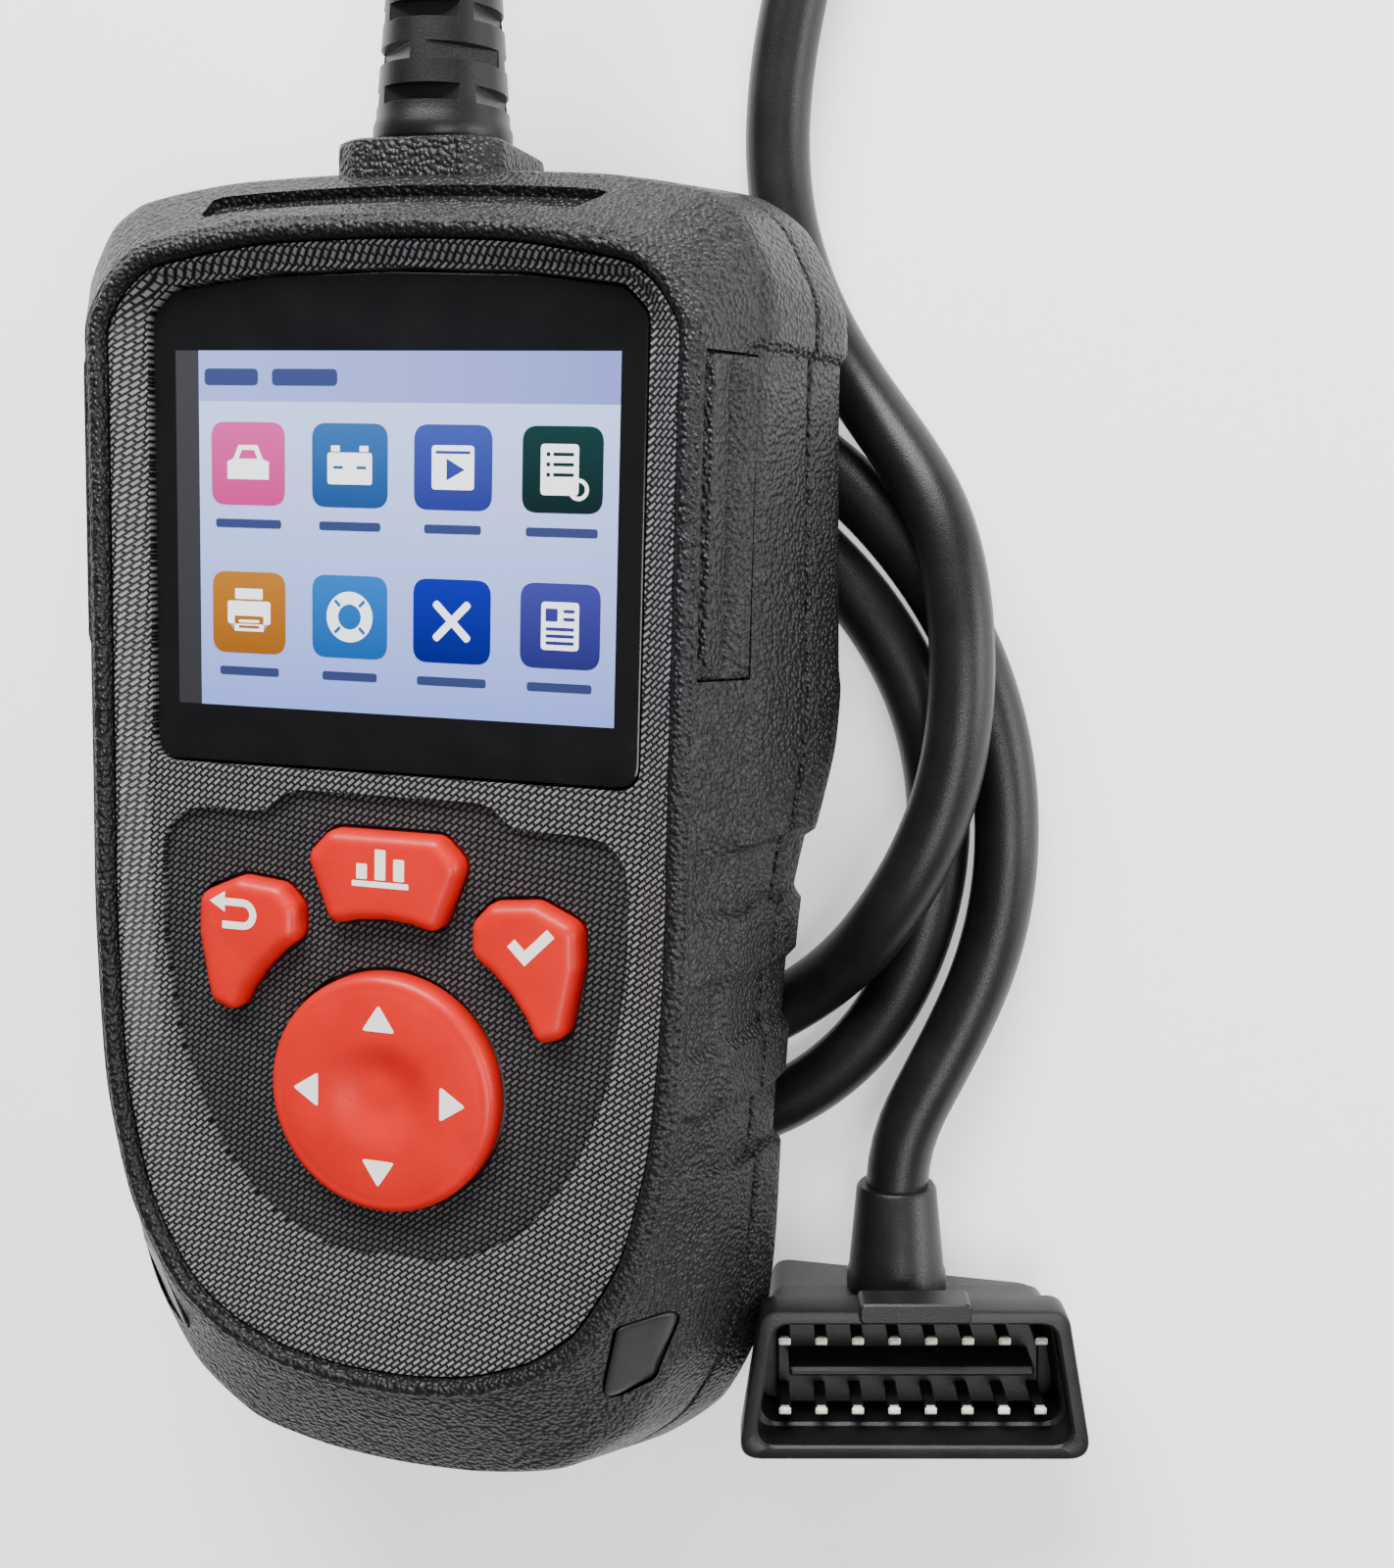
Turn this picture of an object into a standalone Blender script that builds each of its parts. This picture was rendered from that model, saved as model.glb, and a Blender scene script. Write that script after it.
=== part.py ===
"""Handheld car diagnostic reader lying on its own looped cable, with its 16-pin plug standing beside it.

Units are metres, +Z is up. The screen faces +Z, the cable leaves the end at +Y, and the origin is the
centre of the reader's own box. Outlines are written in millimetres and scaled once.
"""
import math

import bmesh
import bpy
import numpy as np
from mathutils import Matrix, Vector

MM = 0.001
GAP = 0.3                        # clearance between neighbouring pieces
ARC_POINTS = 3                   # points on each rounded corner of an outline
SHORTEST_EDGE = 0.4              # a corner's rounding is at least this long
CORNER_SHARE = 0.4               # most of a side that one corner's rounding may take

# Levels through the reader, bottom to top
BACK_Z = -14.0
WIDEST_Z = -7.5
PARTING_Z = -2.0
CEILING_Z = 5.8                  # top of the hollow in the front shell
EDGE_Z = 6.6                     # outer edge of the broad bevel
CREST_FOOT_Z = 13.3
CREST_Z = 14.0
LENS_TOP_Z = 10.4
PLATE_BOTTOM_Z = 7.7
PLATE_FLAT_Z = 10.8
KEY_FIELD_Z = 10.0
KEY_BOTTOM_Z = 8.9
KEY_TOP_Z = 12.4
BOARD_Z = (3.6, 5.2)
WALL = 2.2

# Keypad
NAV_CENTRE_Y = -24.5
NAV_RADIUS = 12.9
KEY_ARC_RADIUS = 18.7            # the keys' inner edges run concentric with the navigation disc
KEY_GAP = 0.45
KEY_CORNER = 1.6

# Screen
SCREEN_CENTRE_Y = 34.0
SCREEN_SIZE = (48.96, 36.72)     # 2.4 inch, 4:3

# Cable
CABLE_RADIUS = 3.5
FLOOR_Z = BACK_Z - 0.5 - 2 * CABLE_RADIUS
CABLE_Z = FLOOR_Z + CABLE_RADIUS
CABLE_STEP = 14.0
EXIT_Z = PARTING_Z
COLLAR_Y = (72.2, 74.0)
BOX_MIDDLE_Y = 1.5               # half way from the case's foot at -71 to the collar's top
RELIEF_LENGTH = 33.0
RELIEF_END_Y = COLLAR_Y[1] + GAP + RELIEF_LENGTH

# Plug, standing on its slanted back with its mouth up; heights are from the mouth, down being negative
PLUG_CENTRE = (55.2, -55.8, -5.0)
PLUG_TURN = math.radians(2.3)
PLUG_LEAN = math.radians(15.0)
PLUG_WIDE = 38.6
PLUG_NARROW = 33.0
PLUG_DEEP = 17.0
PLUG_WALL = 1.6
PLUG_BODY_INSET = 2.0
PLUG_FLANGE = -4.6
PLUG_FLOOR = -11.0
PLUG_SIDE_Y = PLUG_DEEP / 2 - PLUG_BODY_INSET
PLUG_RELIEF_X = -4.0
PLUG_RELIEF_Z = 5.9
PLUG_RELIEF_LENGTH = 12.0
CARRIER_SIZE = (29.6, 12.6)
CARRIER_TOP = -9.0
RIB_SIZE = (27.0, 1.4)
RIB_TOP = -5.6
CONTACTS_IN_ROW = 8
PIN_PITCH = 4.0
PIN_ROW_OFFSET = 4.0
PIN_SIZE = (1.5, 0.8)
PIN_TOP = -5.0

# Half outlines, from the top centre clockwise to the bottom centre: the widest level, the outer edge of
# the broad bevel, the crest's mouth and the flat face inside it. Their points match one for one.
CASE_HALF = [(0, 71.9), (20, 71.4), (33, 69.6), (38.3, 66.0), (42.6, 57.8), (42.9, 53.6), (42.2, 52.3),
             (43.3, 21.5), (43.6, 19.0), (43.2, 12.5), (40.2, -3.0), (38.9, -28.0), (38.6, -42.0),
             (37.6, -52.0), (33.2, -61.8), (25.5, -68.0), (12, -70.6), (0, -71.0)]
EDGE_HALF = [(0, 70.6), (20, 69.9), (30.7, 68.1), (34.6, 65.6), (37.5, 60.0), (38.0, 54.0), (37.3, 52.5),
             (37.6, 21.5), (37.8, 19.0), (37.5, 12.0), (37.0, -4.0), (35.5, -29.0), (34.0, -42.0),
             (30.9, -52.2), (25.5, -61.0), (18, -66.4), (9, -68.4), (0, -68.9)]
CREST_HALF = [(0, 63.2), (14, 62.7), (25.8, 60.6), (28.8, 58.4), (31.1, 54.5), (31.2, 50.0), (31.2, 47.0),
              (31.2, 20.0), (31.2, 16.0), (31.2, 8.0), (31.2, -8.0), (30.2, -26.0), (27.4, -38.5),
              (22.6, -47.2), (17.5, -51.4), (11.0, -54.0), (5.0, -55.0), (0, -55.2)]
DISH_HALF = [(0, 61.1), (13, 60.7), (25.2, 59.2), (27.2, 57.4), (28.1, 54.0), (28.1, 50.0), (28.1, 47.0),
             (28.1, 20.0), (28.1, 16.0), (28.1, 8.0), (27.8, -8.0), (26.2, -20.0), (23.2, -30.0),
             (18.6, -37.4), (14.0, -41.4), (9.0, -43.8), (4.4, -44.8), (0, -45.0)]
LENS_HALF = [(0, 60.2), (14, 59.8), (24.6, 58.5), (27.2, 56.0), (27.2, 9.6), (0, 9.6)]

KEY_FIELD = [(26.4, 4.6), (14.0, 4.6), (11.2, 7.2), (-11.2, 7.2), (-14.0, 4.6), (-26.4, 4.6),
             (-26.6, -9.0), (-24.8, -21.5), (-21.2, -31.0), (-15.4, -38.6), (-7.6, -42.9),
             (7.6, -42.9), (15.4, -38.6), (21.2, -31.0), (24.8, -21.5), (26.6, -9.0)]
KEY_OUTLINES = {
    "back_key": [(-9.9, -5.2), (-11.9, -3.0), (-16.9, -2.5), (-21.6, -4.6), (-21.7, -9.0), (-20.3, -16.4)],
    "ok_key": [(20.3, -16.4), (21.7, -9.0), (21.6, -4.6), (16.9, -2.5), (11.9, -3.0), (9.9, -5.2)],
    "menu_key": [(8.9, 0.6), (6.2, 3.4), (-6.2, 3.4), (-8.9, 0.6)],
}
KEY_ARCS = {"back_key": (122, 158), "ok_key": (22, 58), "menu_key": (109, 71)}

# The lead from its strain relief to the loops under the reader: x, y, z in millimetres
LEAD_POINTS = [(0, 107.9, -2.0), (0, 114, -2.1), (-1.5, 124, -4.6), (-5.5, 135, -9.0), (-9.5, 146, -13.6),
               (-10.5, 158, -16.9), (-5.0, 170, -18.0), (6.0, 177.5, -18.0), (19.0, 179.0, -18.0),
               (32.0, 174.5, -18.0), (41.5, 165, -18.0), (45.5, 152, -18.0), (45.0, 138, -18.0),
               (42.0, 124, -18.0), (38.0, 110, -18.0), (34.5, 97, -18.0), (32.3, 85, -18.0),
               (32.0, 75, -18.0), (33.6, 66.5, -18.0), (37.0, 58.5, -18.0)]
# The loops: turned angle in degrees, radius, and lift where the last turn crosses the others
LOOP_CENTRE = (14.0, 10.5)
LOOP_START_ANGLE = 55.0
LOOP_KNOTS = [(0, 49.2, 0.3), (8, 48.7, 1.9), (15, 48.0, 4.3), (32, 44.8, 7.3), (55, 41.4, 7.3),
              (75, 39.0, 7.3), (90, 37.5, 5.0), (100, 37.1, 0.6), (110, 36.8, 0.0), (180, 36.8, 0.0),
              (235, 36.0, 0.0), (325, 34.3, 0.0), (375, 33.5, 0.0), (395, 35.8, 0.0), (415, 38.5, 0.0),
              (435, 41.2, 0.0), (457, 45.0, 0.0), (475, 46.4, 0.0), (530, 45.0, 0.0), (595, 43.6, 0.0),
              (685, 42.0, 0.0), (735, 41.2, 0.0), (755, 43.3, 0.0), (775, 45.9, 0.0), (795, 49.2, 0.0),
              (802, 50.4, 0.0)]
LOOP_STEP_DEGREES = 20.0

# Finishes: colour, roughness, metallic
FINISHES = {
    "black_shell": ((0.030, 0.030, 0.032), 0.55, 0.0),
    "weave_black": ((0.045, 0.045, 0.047), 0.45, 0.0),
    "lens_black": ((0.006, 0.006, 0.007), 0.08, 0.0),
    "display": ((0.45, 0.55, 0.90), 0.20, 0.0),
    "sheet_steel": ((0.60, 0.60, 0.62), 0.35, 1.0),
    "key_red": ((0.86, 0.075, 0.045), 0.42, 0.0),
    "mat_grey": ((0.35, 0.35, 0.36), 0.60, 0.0),
    "board_green": ((0.02, 0.20, 0.08), 0.45, 0.0),
    "chip_black": ((0.02, 0.02, 0.02), 0.45, 0.0),
    "pale_nylon": ((0.85, 0.84, 0.78), 0.50, 0.0),
    "cable_black": ((0.018, 0.018, 0.020), 0.40, 0.0),
    "plug_black": ((0.022, 0.022, 0.024), 0.45, 0.0),
    "plated_contact": ((0.80, 0.76, 0.66), 0.25, 1.0),
    "screw_steel": ((0.30, 0.30, 0.31), 0.35, 1.0),
    "label_grey": ((0.12, 0.12, 0.13), 0.50, 0.0),
    "copper_orange": ((0.75, 0.38, 0.10), 0.45, 0.0),
}

MODEL_NAME = "code_reader"


def clear_scene():
    for item in list(bpy.data.objects):
        bpy.data.objects.remove(item, do_unlink=True)


def make_collection(name):
    collection = bpy.data.collections.new(name)
    bpy.context.scene.collection.children.link(collection)
    return collection


def make_material(name):
    colour, roughness, metallic = FINISHES[name]
    material = bpy.data.materials.get(name) or bpy.data.materials.new(name)
    material.use_nodes = True
    shader = material.node_tree.nodes["Principled BSDF"]
    shader.inputs["Base Color"].default_value = (*colour, 1.0)
    shader.inputs["Roughness"].default_value = roughness
    shader.inputs["Metallic"].default_value = metallic
    material.diffuse_color = (*colour, 1.0)
    return material


# ---------------------------------------------------------------- outlines

def mirrored(half):
    """A closed outline from its right half, which starts and ends on the centre line."""
    left = [(-x, y) for x, y in reversed(half[1:-1])]
    return list(half) + left


def offset(points, distance):
    """The outline with every side moved inwards by the distance, its corners kept mitred."""
    result = []
    count = len(points)
    area = sum(points[i - 1][0] * points[i][1] - points[i][0] * points[i - 1][1] for i in range(count))
    side = 1.0 if area > 0 else -1.0
    for index in range(count):
        corner = Vector(points[index])
        arriving = (corner - Vector(points[index - 1])).normalized()
        leaving = (Vector(points[(index + 1) % count]) - corner).normalized()
        inward = Vector((-arriving.y - leaving.y, arriving.x + leaving.x)) * side
        inward.normalize()
        stretch = 1 / inward.dot(Vector((-arriving.y, arriving.x)) * side)
        result.append(tuple(corner + inward * distance * stretch))
    return result


def rounded(points, radius, arc_points=ARC_POINTS):
    """Each corner becomes a few points on a fillet of about the given radius."""
    result = []
    count = len(points)
    for index in range(count):
        before = Vector(points[index - 1])
        corner = Vector(points[index])
        after = Vector(points[(index + 1) % count])
        to_before = before - corner
        to_after = after - corner
        turn = math.pi - to_before.angle(to_after, math.pi)
        reach = max(radius * math.tan(turn / 2), SHORTEST_EDGE)
        reach = min(reach, CORNER_SHARE * to_before.length, CORNER_SHARE * to_after.length)
        start = corner + to_before.normalized() * reach
        end = corner + to_after.normalized() * reach
        for step in range(arc_points):
            t = step / (arc_points - 1)
            result.append(tuple(start * (1 - t) ** 2 + corner * 2 * t * (1 - t) + end * t ** 2))
    return result


def inset(points, distance):
    """The outline moved inwards; a negative distance moves it outwards."""
    result = []
    count = len(points)
    area = sum(points[i - 1][0] * points[i][1] - points[i][0] * points[i - 1][1] for i in range(count))
    side = 1.0 if area > 0 else -1.0
    for index in range(count):
        tangent = Vector(points[(index + 1) % count]) - Vector(points[index - 1])
        tangent.normalize()
        result.append((points[index][0] - side * tangent.y * distance,
                       points[index][1] + side * tangent.x * distance))
    return result


def rectangle(width, depth, centre=(0.0, 0.0)):
    x, y = centre
    return [(x - width / 2, y - depth / 2), (x + width / 2, y - depth / 2),
            (x + width / 2, y + depth / 2), (x - width / 2, y + depth / 2)]


def circle(radius, centre, sides):
    angles = [2 * math.pi * step / sides for step in range(sides)]
    return [(centre[0] + radius * math.cos(a), centre[1] + radius * math.sin(a)) for a in angles]


def key_outline(name, growth=0.0):
    """A key's edge: its straight sides, and an inner side concentric with the navigation disc."""
    start, end = KEY_ARCS[name]
    arc = []
    for step in range(5):
        angle = math.radians(end + (start - end) * step / 4)
        arc.append((KEY_ARC_RADIUS * math.cos(angle), NAV_CENTRE_Y + KEY_ARC_RADIUS * math.sin(angle)))
    straight = KEY_OUTLINES[name]
    if math.dist(straight[-1], arc[0]) > math.dist(straight[-1], arc[-1]):
        arc.reverse()
    return inset(rounded(straight + arc, KEY_CORNER), -growth)


# ---------------------------------------------------------------- solids

def place(name, mesh, material, collection, location=(0.0, 0.0, 0.0)):
    mesh.materials.append(make_material(material))
    item = bpy.data.objects.new(name, mesh)
    item.location = Vector(location) * MM
    collection.objects.link(item)
    return item


def smooth_sides(mesh, angle=35.0):
    mesh.shade_smooth()
    mesh.set_sharp_from_angle(angle=math.radians(angle))


def skin(name, loops, material, collection, location=(0.0, 0.0, 0.0), closed=False):
    """A solid over loops of equal length. It is capped at both ends, or joined end to end when closed."""
    shape = bmesh.new()
    origin = Vector(location)
    rows = [[shape.verts.new((Vector(point) - origin) * MM) for point in loop] for loop in loops]
    pairs = list(zip(rows, rows[1:]))
    if closed:
        pairs.append((rows[-1], rows[0]))
    for lower, upper in pairs:
        count = len(lower)
        for index in range(count):
            following = (index + 1) % count
            shape.faces.new((lower[index], lower[following], upper[following], upper[index]))
    if not closed:
        shape.faces.new(list(reversed(rows[0])))
        shape.faces.new(rows[-1])
    bmesh.ops.recalc_face_normals(shape, faces=shape.faces)
    mesh = bpy.data.meshes.new(name)
    shape.to_mesh(mesh)
    shape.free()
    smooth_sides(mesh)
    return place(name, mesh, material, collection, location)


def loft(name, rings, material, collection, location=(0.0, 0.0, 0.0), closed=False):
    """A solid through level rings, each a pair (outline, z)."""
    loops = [[(x, y, z) for x, y in points] for points, z in rings]
    return skin(name, loops, material, collection, location, closed)


def prism(name, points, low, high, material, collection):
    """A flat outline, filled and extruded upwards."""
    shape = bmesh.new()
    outline = shape.faces.new([shape.verts.new(Vector((x, y, low)) * MM) for x, y in points])
    raised = bmesh.ops.extrude_face_region(shape, geom=[outline])["geom"]
    top = [item for item in raised if isinstance(item, bmesh.types.BMVert)]
    bmesh.ops.translate(shape, vec=Vector((0, 0, high - low)) * MM, verts=top)
    bmesh.ops.recalc_face_normals(shape, faces=shape.faces)
    mesh = bpy.data.meshes.new(name)
    shape.to_mesh(mesh)
    shape.free()
    smooth_sides(mesh)
    return place(name, mesh, material, collection)


def box(name, size, centre, material, collection, bevel=0.0):
    shape = bmesh.new()
    bmesh.ops.create_cube(shape, size=1.0)
    bmesh.ops.scale(shape, vec=Vector(size) * MM, verts=shape.verts)
    if bevel:
        bmesh.ops.bevel(shape, geom=shape.edges[:], offset=bevel * MM, segments=1, affect="EDGES")
    mesh = bpy.data.meshes.new(name)
    shape.to_mesh(mesh)
    shape.free()
    return place(name, mesh, material, collection, centre)


def turned(name, profile, material, collection, location, axis, steps=20):
    """A turned piece: profile points are (radius, height along the axis), outer side top to bottom."""
    shape = bmesh.new()
    for radius, height in profile:
        shape.verts.new((radius * MM, 0.0, height * MM))
    shape.verts.ensure_lookup_table()
    for index in range(len(profile) - 1):
        shape.edges.new((shape.verts[index], shape.verts[index + 1]))
    mesh = bpy.data.meshes.new(name)
    shape.to_mesh(mesh)
    shape.free()
    item = place(name, mesh, material, collection, location)
    item.rotation_mode = "QUATERNION"
    item.rotation_quaternion = Vector((0, 0, 1)).rotation_difference(Vector(axis))
    screw = item.modifiers.new("turn", "SCREW")
    screw.steps = steps
    screw.render_steps = steps
    screw.use_merge_vertices = True
    screw.merge_threshold = 0.00001
    return item


def combine(item, tool, operation):
    change = item.modifiers.new(tool.name, "BOOLEAN")
    change.operation = operation
    change.solver = "EXACT"
    change.object = tool
    tool.hide_render = True
    tool.display_type = "WIRE"


def subtract(item, cutter):
    combine(item, cutter, "DIFFERENCE")


def make_cutter(name, points, low, high, cutters):
    return prism(name, points, low, high, "black_shell", cutters)


# ---------------------------------------------------------------- case

SCREW_PLACES = [(-32.8, 59.5), (32.8, 59.5), (-31.0, -34.0), (31.0, -34.0)]
SCREW_TOP_Z = 8.4
SCREW_HEAD = (0.2, 0.9)          # the head's two faces, above the back of the case
SCREW_HEAD_RADIUS = 2.6
SCREW_SHAFT_RADIUS = 1.2
SCREW_SIDES = 12
CABLE_BORE_RADIUS = 5.4
CABLE_BORE_LENGTH = 24.0
BORE_SIDES = 16
LABEL_CENTRE = (0.0, 10.5)
LABEL_SIZE = (25.0, 28.0)
LABEL_DEPTH = 0.6


def wall_outline(z, distance=0.0):
    """The side wall at a level: it widens from the bevel's edge down to the widest level."""
    share = min(max((EDGE_Z - z) / (EDGE_Z - WIDEST_Z), 0.0), 1.0)
    half = [tuple(Vector(edge).lerp(Vector(wide), share)) for edge, wide in zip(EDGE_HALF, CASE_HALF)]
    return rounded(offset(mirrored(half), distance), 4.0, 2)


def crest_outline(distance=0.0):
    return rounded(offset(mirrored(CREST_HALF), distance), 4.0, 2)


def wall_ring(z, distance=0.0):
    return wall_outline(z, distance), z


def middle_ring(lower, upper):
    """The ring halfway between two others."""
    (low_points, low_z), (high_points, high_z) = lower, upper
    points = [tuple(Vector(low).lerp(Vector(high), 0.5)) for low, high in zip(low_points, high_points)]
    return points, (low_z + high_z) / 2


def make_front_shell(model, cutters):
    """A frame of constant topology: outside wall, bevel up to the crest, down the mouth, out to the cavity."""
    bevel_edge = wall_ring(EDGE_Z, 0.7)
    crest_foot = (crest_outline(-2.0), CREST_FOOT_Z)
    rings = [wall_ring(PARTING_Z),
             wall_ring(EDGE_Z - 1.2),
             bevel_edge,
             middle_ring(bevel_edge, crest_foot),
             crest_foot,
             (crest_outline(-1.1), CREST_Z),
             (crest_outline(-0.4), CREST_Z - 0.1),
             (crest_outline(), CREST_Z - 0.8),
             (crest_outline(), CEILING_Z),
             wall_ring(CEILING_Z, WALL + 0.6),
             wall_ring(PARTING_Z, WALL)]
    shell = loft("front_shell", rings, "black_shell", model, closed=True)
    for index, (x, y) in enumerate(SCREW_PLACES):
        points = circle(SCREW_SHAFT_RADIUS + GAP, (x, y), SCREW_SIDES)
        subtract(shell, make_cutter("front_bore_%d" % index, points, 0.0, SCREW_TOP_Z + 0.8, cutters))
    subtract(shell, make_cable_bore("front_cable_bore", cutters))
    for side in (-1, 1):
        subtract(shell, make_grip("grip_recess_%d" % side, side, GAP, cutters))
        subtract(shell, make_corner_pad("corner_recess_%d" % side, side, GAP, cutters))
    return shell


def make_cable_bore(name, cutters):
    """The round passage through the end wall, half in each shell."""
    half = CABLE_BORE_LENGTH / 2
    profile = [(0, half), (CABLE_BORE_RADIUS, half), (CABLE_BORE_RADIUS, -half), (0, -half)]
    return turned(name, profile, "black_shell", cutters, (0, COLLAR_Y[0], EXIT_Z), (0, 1, 0), BORE_SIDES)


def make_rear_shell(model, cutters):
    rings = [wall_ring(BACK_Z + WALL, 5.6),
             wall_ring(WIDEST_Z - 1.5, WALL + 0.4),
             wall_ring(PARTING_Z - GAP, WALL),
             wall_ring(PARTING_Z - GAP),
             wall_ring(WIDEST_Z),
             wall_ring(WIDEST_Z - 3.0, 1.0),
             wall_ring(BACK_Z, 3.8)]
    shell = loft("rear_shell", rings, "black_shell", model)
    for index, (x, y) in enumerate(SCREW_PLACES):
        shaft = circle(SCREW_SHAFT_RADIUS + GAP, (x, y), SCREW_SIDES)
        head = circle(SCREW_HEAD_RADIUS + GAP, (x, y), SCREW_SIDES)
        subtract(shell, make_cutter("rear_bore_%d" % index, shaft, BACK_Z - 1, 0.0, cutters))
        subtract(shell, make_cutter("rear_sink_%d" % index, head, BACK_Z - 1, BACK_Z + 1.2, cutters))
    label = inset(rounded(rectangle(*LABEL_SIZE, LABEL_CENTRE), 2.0), -GAP)
    subtract(shell, make_cutter("label_recess", label, BACK_Z - 1, BACK_Z + LABEL_DEPTH + GAP, cutters))
    subtract(shell, make_cable_bore("rear_cable_bore", cutters))
    return shell


def make_screws(model):
    """Four case screws, each a head and a shaft turned as one profile."""
    low, high = SCREW_HEAD
    length = SCREW_TOP_Z - BACK_Z
    profile = [(0, length), (SCREW_SHAFT_RADIUS, length), (SCREW_SHAFT_RADIUS, high),
               (SCREW_HEAD_RADIUS, high), (SCREW_HEAD_RADIUS, low), (0, low)]
    for index, (x, y) in enumerate(SCREW_PLACES):
        turned("case_screw_%d" % (index + 1), profile, "screw_steel", model, (x, y, BACK_Z), (0, 0, 1), SCREW_SIDES)


def make_rear_label(model):
    points = rounded(rectangle(*LABEL_SIZE, LABEL_CENTRE), 2.0)
    return prism("rear_label", points, BACK_Z, BACK_Z + LABEL_DEPTH, "label_grey", model)


GRIP_LENGTH = 31.0
GRIP_CENTRE = (35.4, 36.6, 9.5)
GRIP_SLOPE = math.radians(57.0)  # as the bevel that it lies in
GRIP_WIDTH = 6.8
GRIP_RIBS = 2
GRIP_DEPTH = 1.2
GRIP_RISE = 1.1


def make_grip(name, side, growth, collection):
    """A ribbed rubber strip let into the bevel beside the screen; with growth, the pocket it lies in."""
    half_width = GRIP_WIDTH / 2 + growth
    section = [(-half_width, -GRIP_DEPTH - growth)]
    if growth:
        section += [(-half_width, 2 * GRIP_RISE), (half_width, 2 * GRIP_RISE)]
    else:
        rib = GRIP_WIDTH / GRIP_RIBS
        for index in range(GRIP_RIBS):
            start = -half_width + index * rib
            section += [(start, 0.1), (start + 0.25 * rib, GRIP_RISE), (start + 0.75 * rib, GRIP_RISE)]
        section.append((half_width, 0.1))
    section.append((half_width, -GRIP_DEPTH - growth))
    cos, sin = math.cos(GRIP_SLOPE), math.sin(GRIP_SLOPE)
    loops = []
    for end in (-1, 1):
        y = GRIP_CENTRE[1] + end * (GRIP_LENGTH / 2 + growth)
        loops.append([(side * (GRIP_CENTRE[0] + across * cos + height * sin), y,
                       GRIP_CENTRE[2] - across * sin + height * cos) for across, height in section])
    return skin(name, loops, "black_shell", collection)


PAD_CORNERS = [(26.8, -46.2), (32.2, -45.2), (29.2, -53.6), (24.4, -56.0)]
PAD_THICKNESS = 1.8
PAD_RISE = 0.35


def bevel_height(x, y):
    """Height of the broad bevel at a point, from how near it is to the bevel's two edges."""
    to_edge = min(math.dist((x, y), point) for point in wall_outline(EDGE_Z, 0.7))
    to_foot = min(math.dist((x, y), point) for point in crest_outline(-2.0))
    return EDGE_Z + (CREST_FOOT_Z - EDGE_Z) * to_edge / (to_edge + to_foot)


def pad_plane():
    """The plane nearest to the bevel at the pad's corners: its height's terms in x, y and 1."""
    terms = np.array([(x, y, 1.0) for x, y in PAD_CORNERS])
    heights = np.array([bevel_height(x, y) for x, y in PAD_CORNERS])
    return np.linalg.lstsq(terms, heights, rcond=None)[0]


def make_corner_pad(name, side, growth, collection):
    """A soft pad let into the bevel at a bottom corner; with growth, the pocket it lies in."""
    points = inset(rounded(PAD_CORNERS, 1.0), -growth)
    plane = pad_plane()
    above = PAD_RISE if growth == 0 else 2 * PAD_THICKNESS
    loops = [[(side * x, y, float(plane @ (x, y, 1.0)) + lift) for x, y in points]
             for lift in (-PAD_THICKNESS - growth, above)]
    return skin(name, loops, "black_shell", collection)


COLLAR_OUTLINE = [(-9.2, -6.4), (-6.2, -8.4), (6.2, -8.4), (9.2, -6.4), (9.2, 6.4), (6.2, 8.4),
                  (-6.2, 8.4), (-9.2, 6.4)]


def make_collar(model):
    """The ring at the end of the case that the strain relief stands in."""
    outer = rounded(COLLAR_OUTLINE, 2.0)
    bore = [tuple(Vector(point).normalized() * CABLE_BORE_RADIUS) for point in outer]
    lip = [(0.92 * x, 0.92 * z) for x, z in outer]
    low, high = COLLAR_Y
    rings = [(outer, low), (outer, low + 0.9), (lip, high), (bore, high), (bore, low)]
    loops = [[(x, y, EXIT_Z + z) for x, z in points] for points, y in rings]
    return skin("cable_collar", loops, "black_shell", model, closed=True)


# ---------------------------------------------------------------- face and keys

def make_face_plate(model, cutters):
    """The patterned panel inside the crest: it slopes down to a flat field with the window and the keys."""
    dish = rounded(mirrored(DISH_HALF), 4.0, 2)
    rings = [(crest_outline(GAP), PLATE_BOTTOM_Z),
             (crest_outline(GAP), 12.9),
             (crest_outline(1.0), 12.7),
             (dish, PLATE_FLAT_Z)]
    plate = loft("face_plate", rings, "weave_black", model)
    lens = inset(rounded(mirrored(LENS_HALF), 2.5), -GAP)
    subtract(plate, make_cutter("window_cut", lens, 5.0, 15.0, cutters))
    field = rounded(KEY_FIELD, 2.0)
    subtract(plate, make_cutter("key_field", field, KEY_FIELD_Z, 15.0, cutters))
    for name in KEY_OUTLINES:
        subtract(plate, make_cutter(name + "_cut", key_outline(name, KEY_GAP), 5.0, 15.0, cutters))
    disc = circle(NAV_RADIUS + KEY_GAP + 0.1, (0, NAV_CENTRE_Y), 40)
    subtract(plate, make_cutter("nav_cut", disc, 5.0, 15.0, cutters))
    return plate


def make_window(model):
    points = rounded(mirrored(LENS_HALF), 2.5)
    rings = [(points, 8.6), (points, LENS_TOP_Z - 0.3), (inset(points, 0.3), LENS_TOP_Z)]
    return loft("screen_window", rings, "lens_black", model)


def make_key(name, model):
    """A moulded key: straight skirt, then a chamfer up to its flat top. Its origin is at its centre."""
    points = key_outline(name)
    centre_x = sum(x for x, _ in points) / len(points)
    centre_y = sum(y for _, y in points) / len(points)
    rings = [(points, KEY_BOTTOM_Z), (points, KEY_TOP_Z - 1.1), (inset(points, 1.0), KEY_TOP_Z)]
    return loft(name, rings, "key_red", model, location=(centre_x, centre_y, KEY_BOTTOM_Z))


NAV_PIVOT_Z = 8.6


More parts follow.
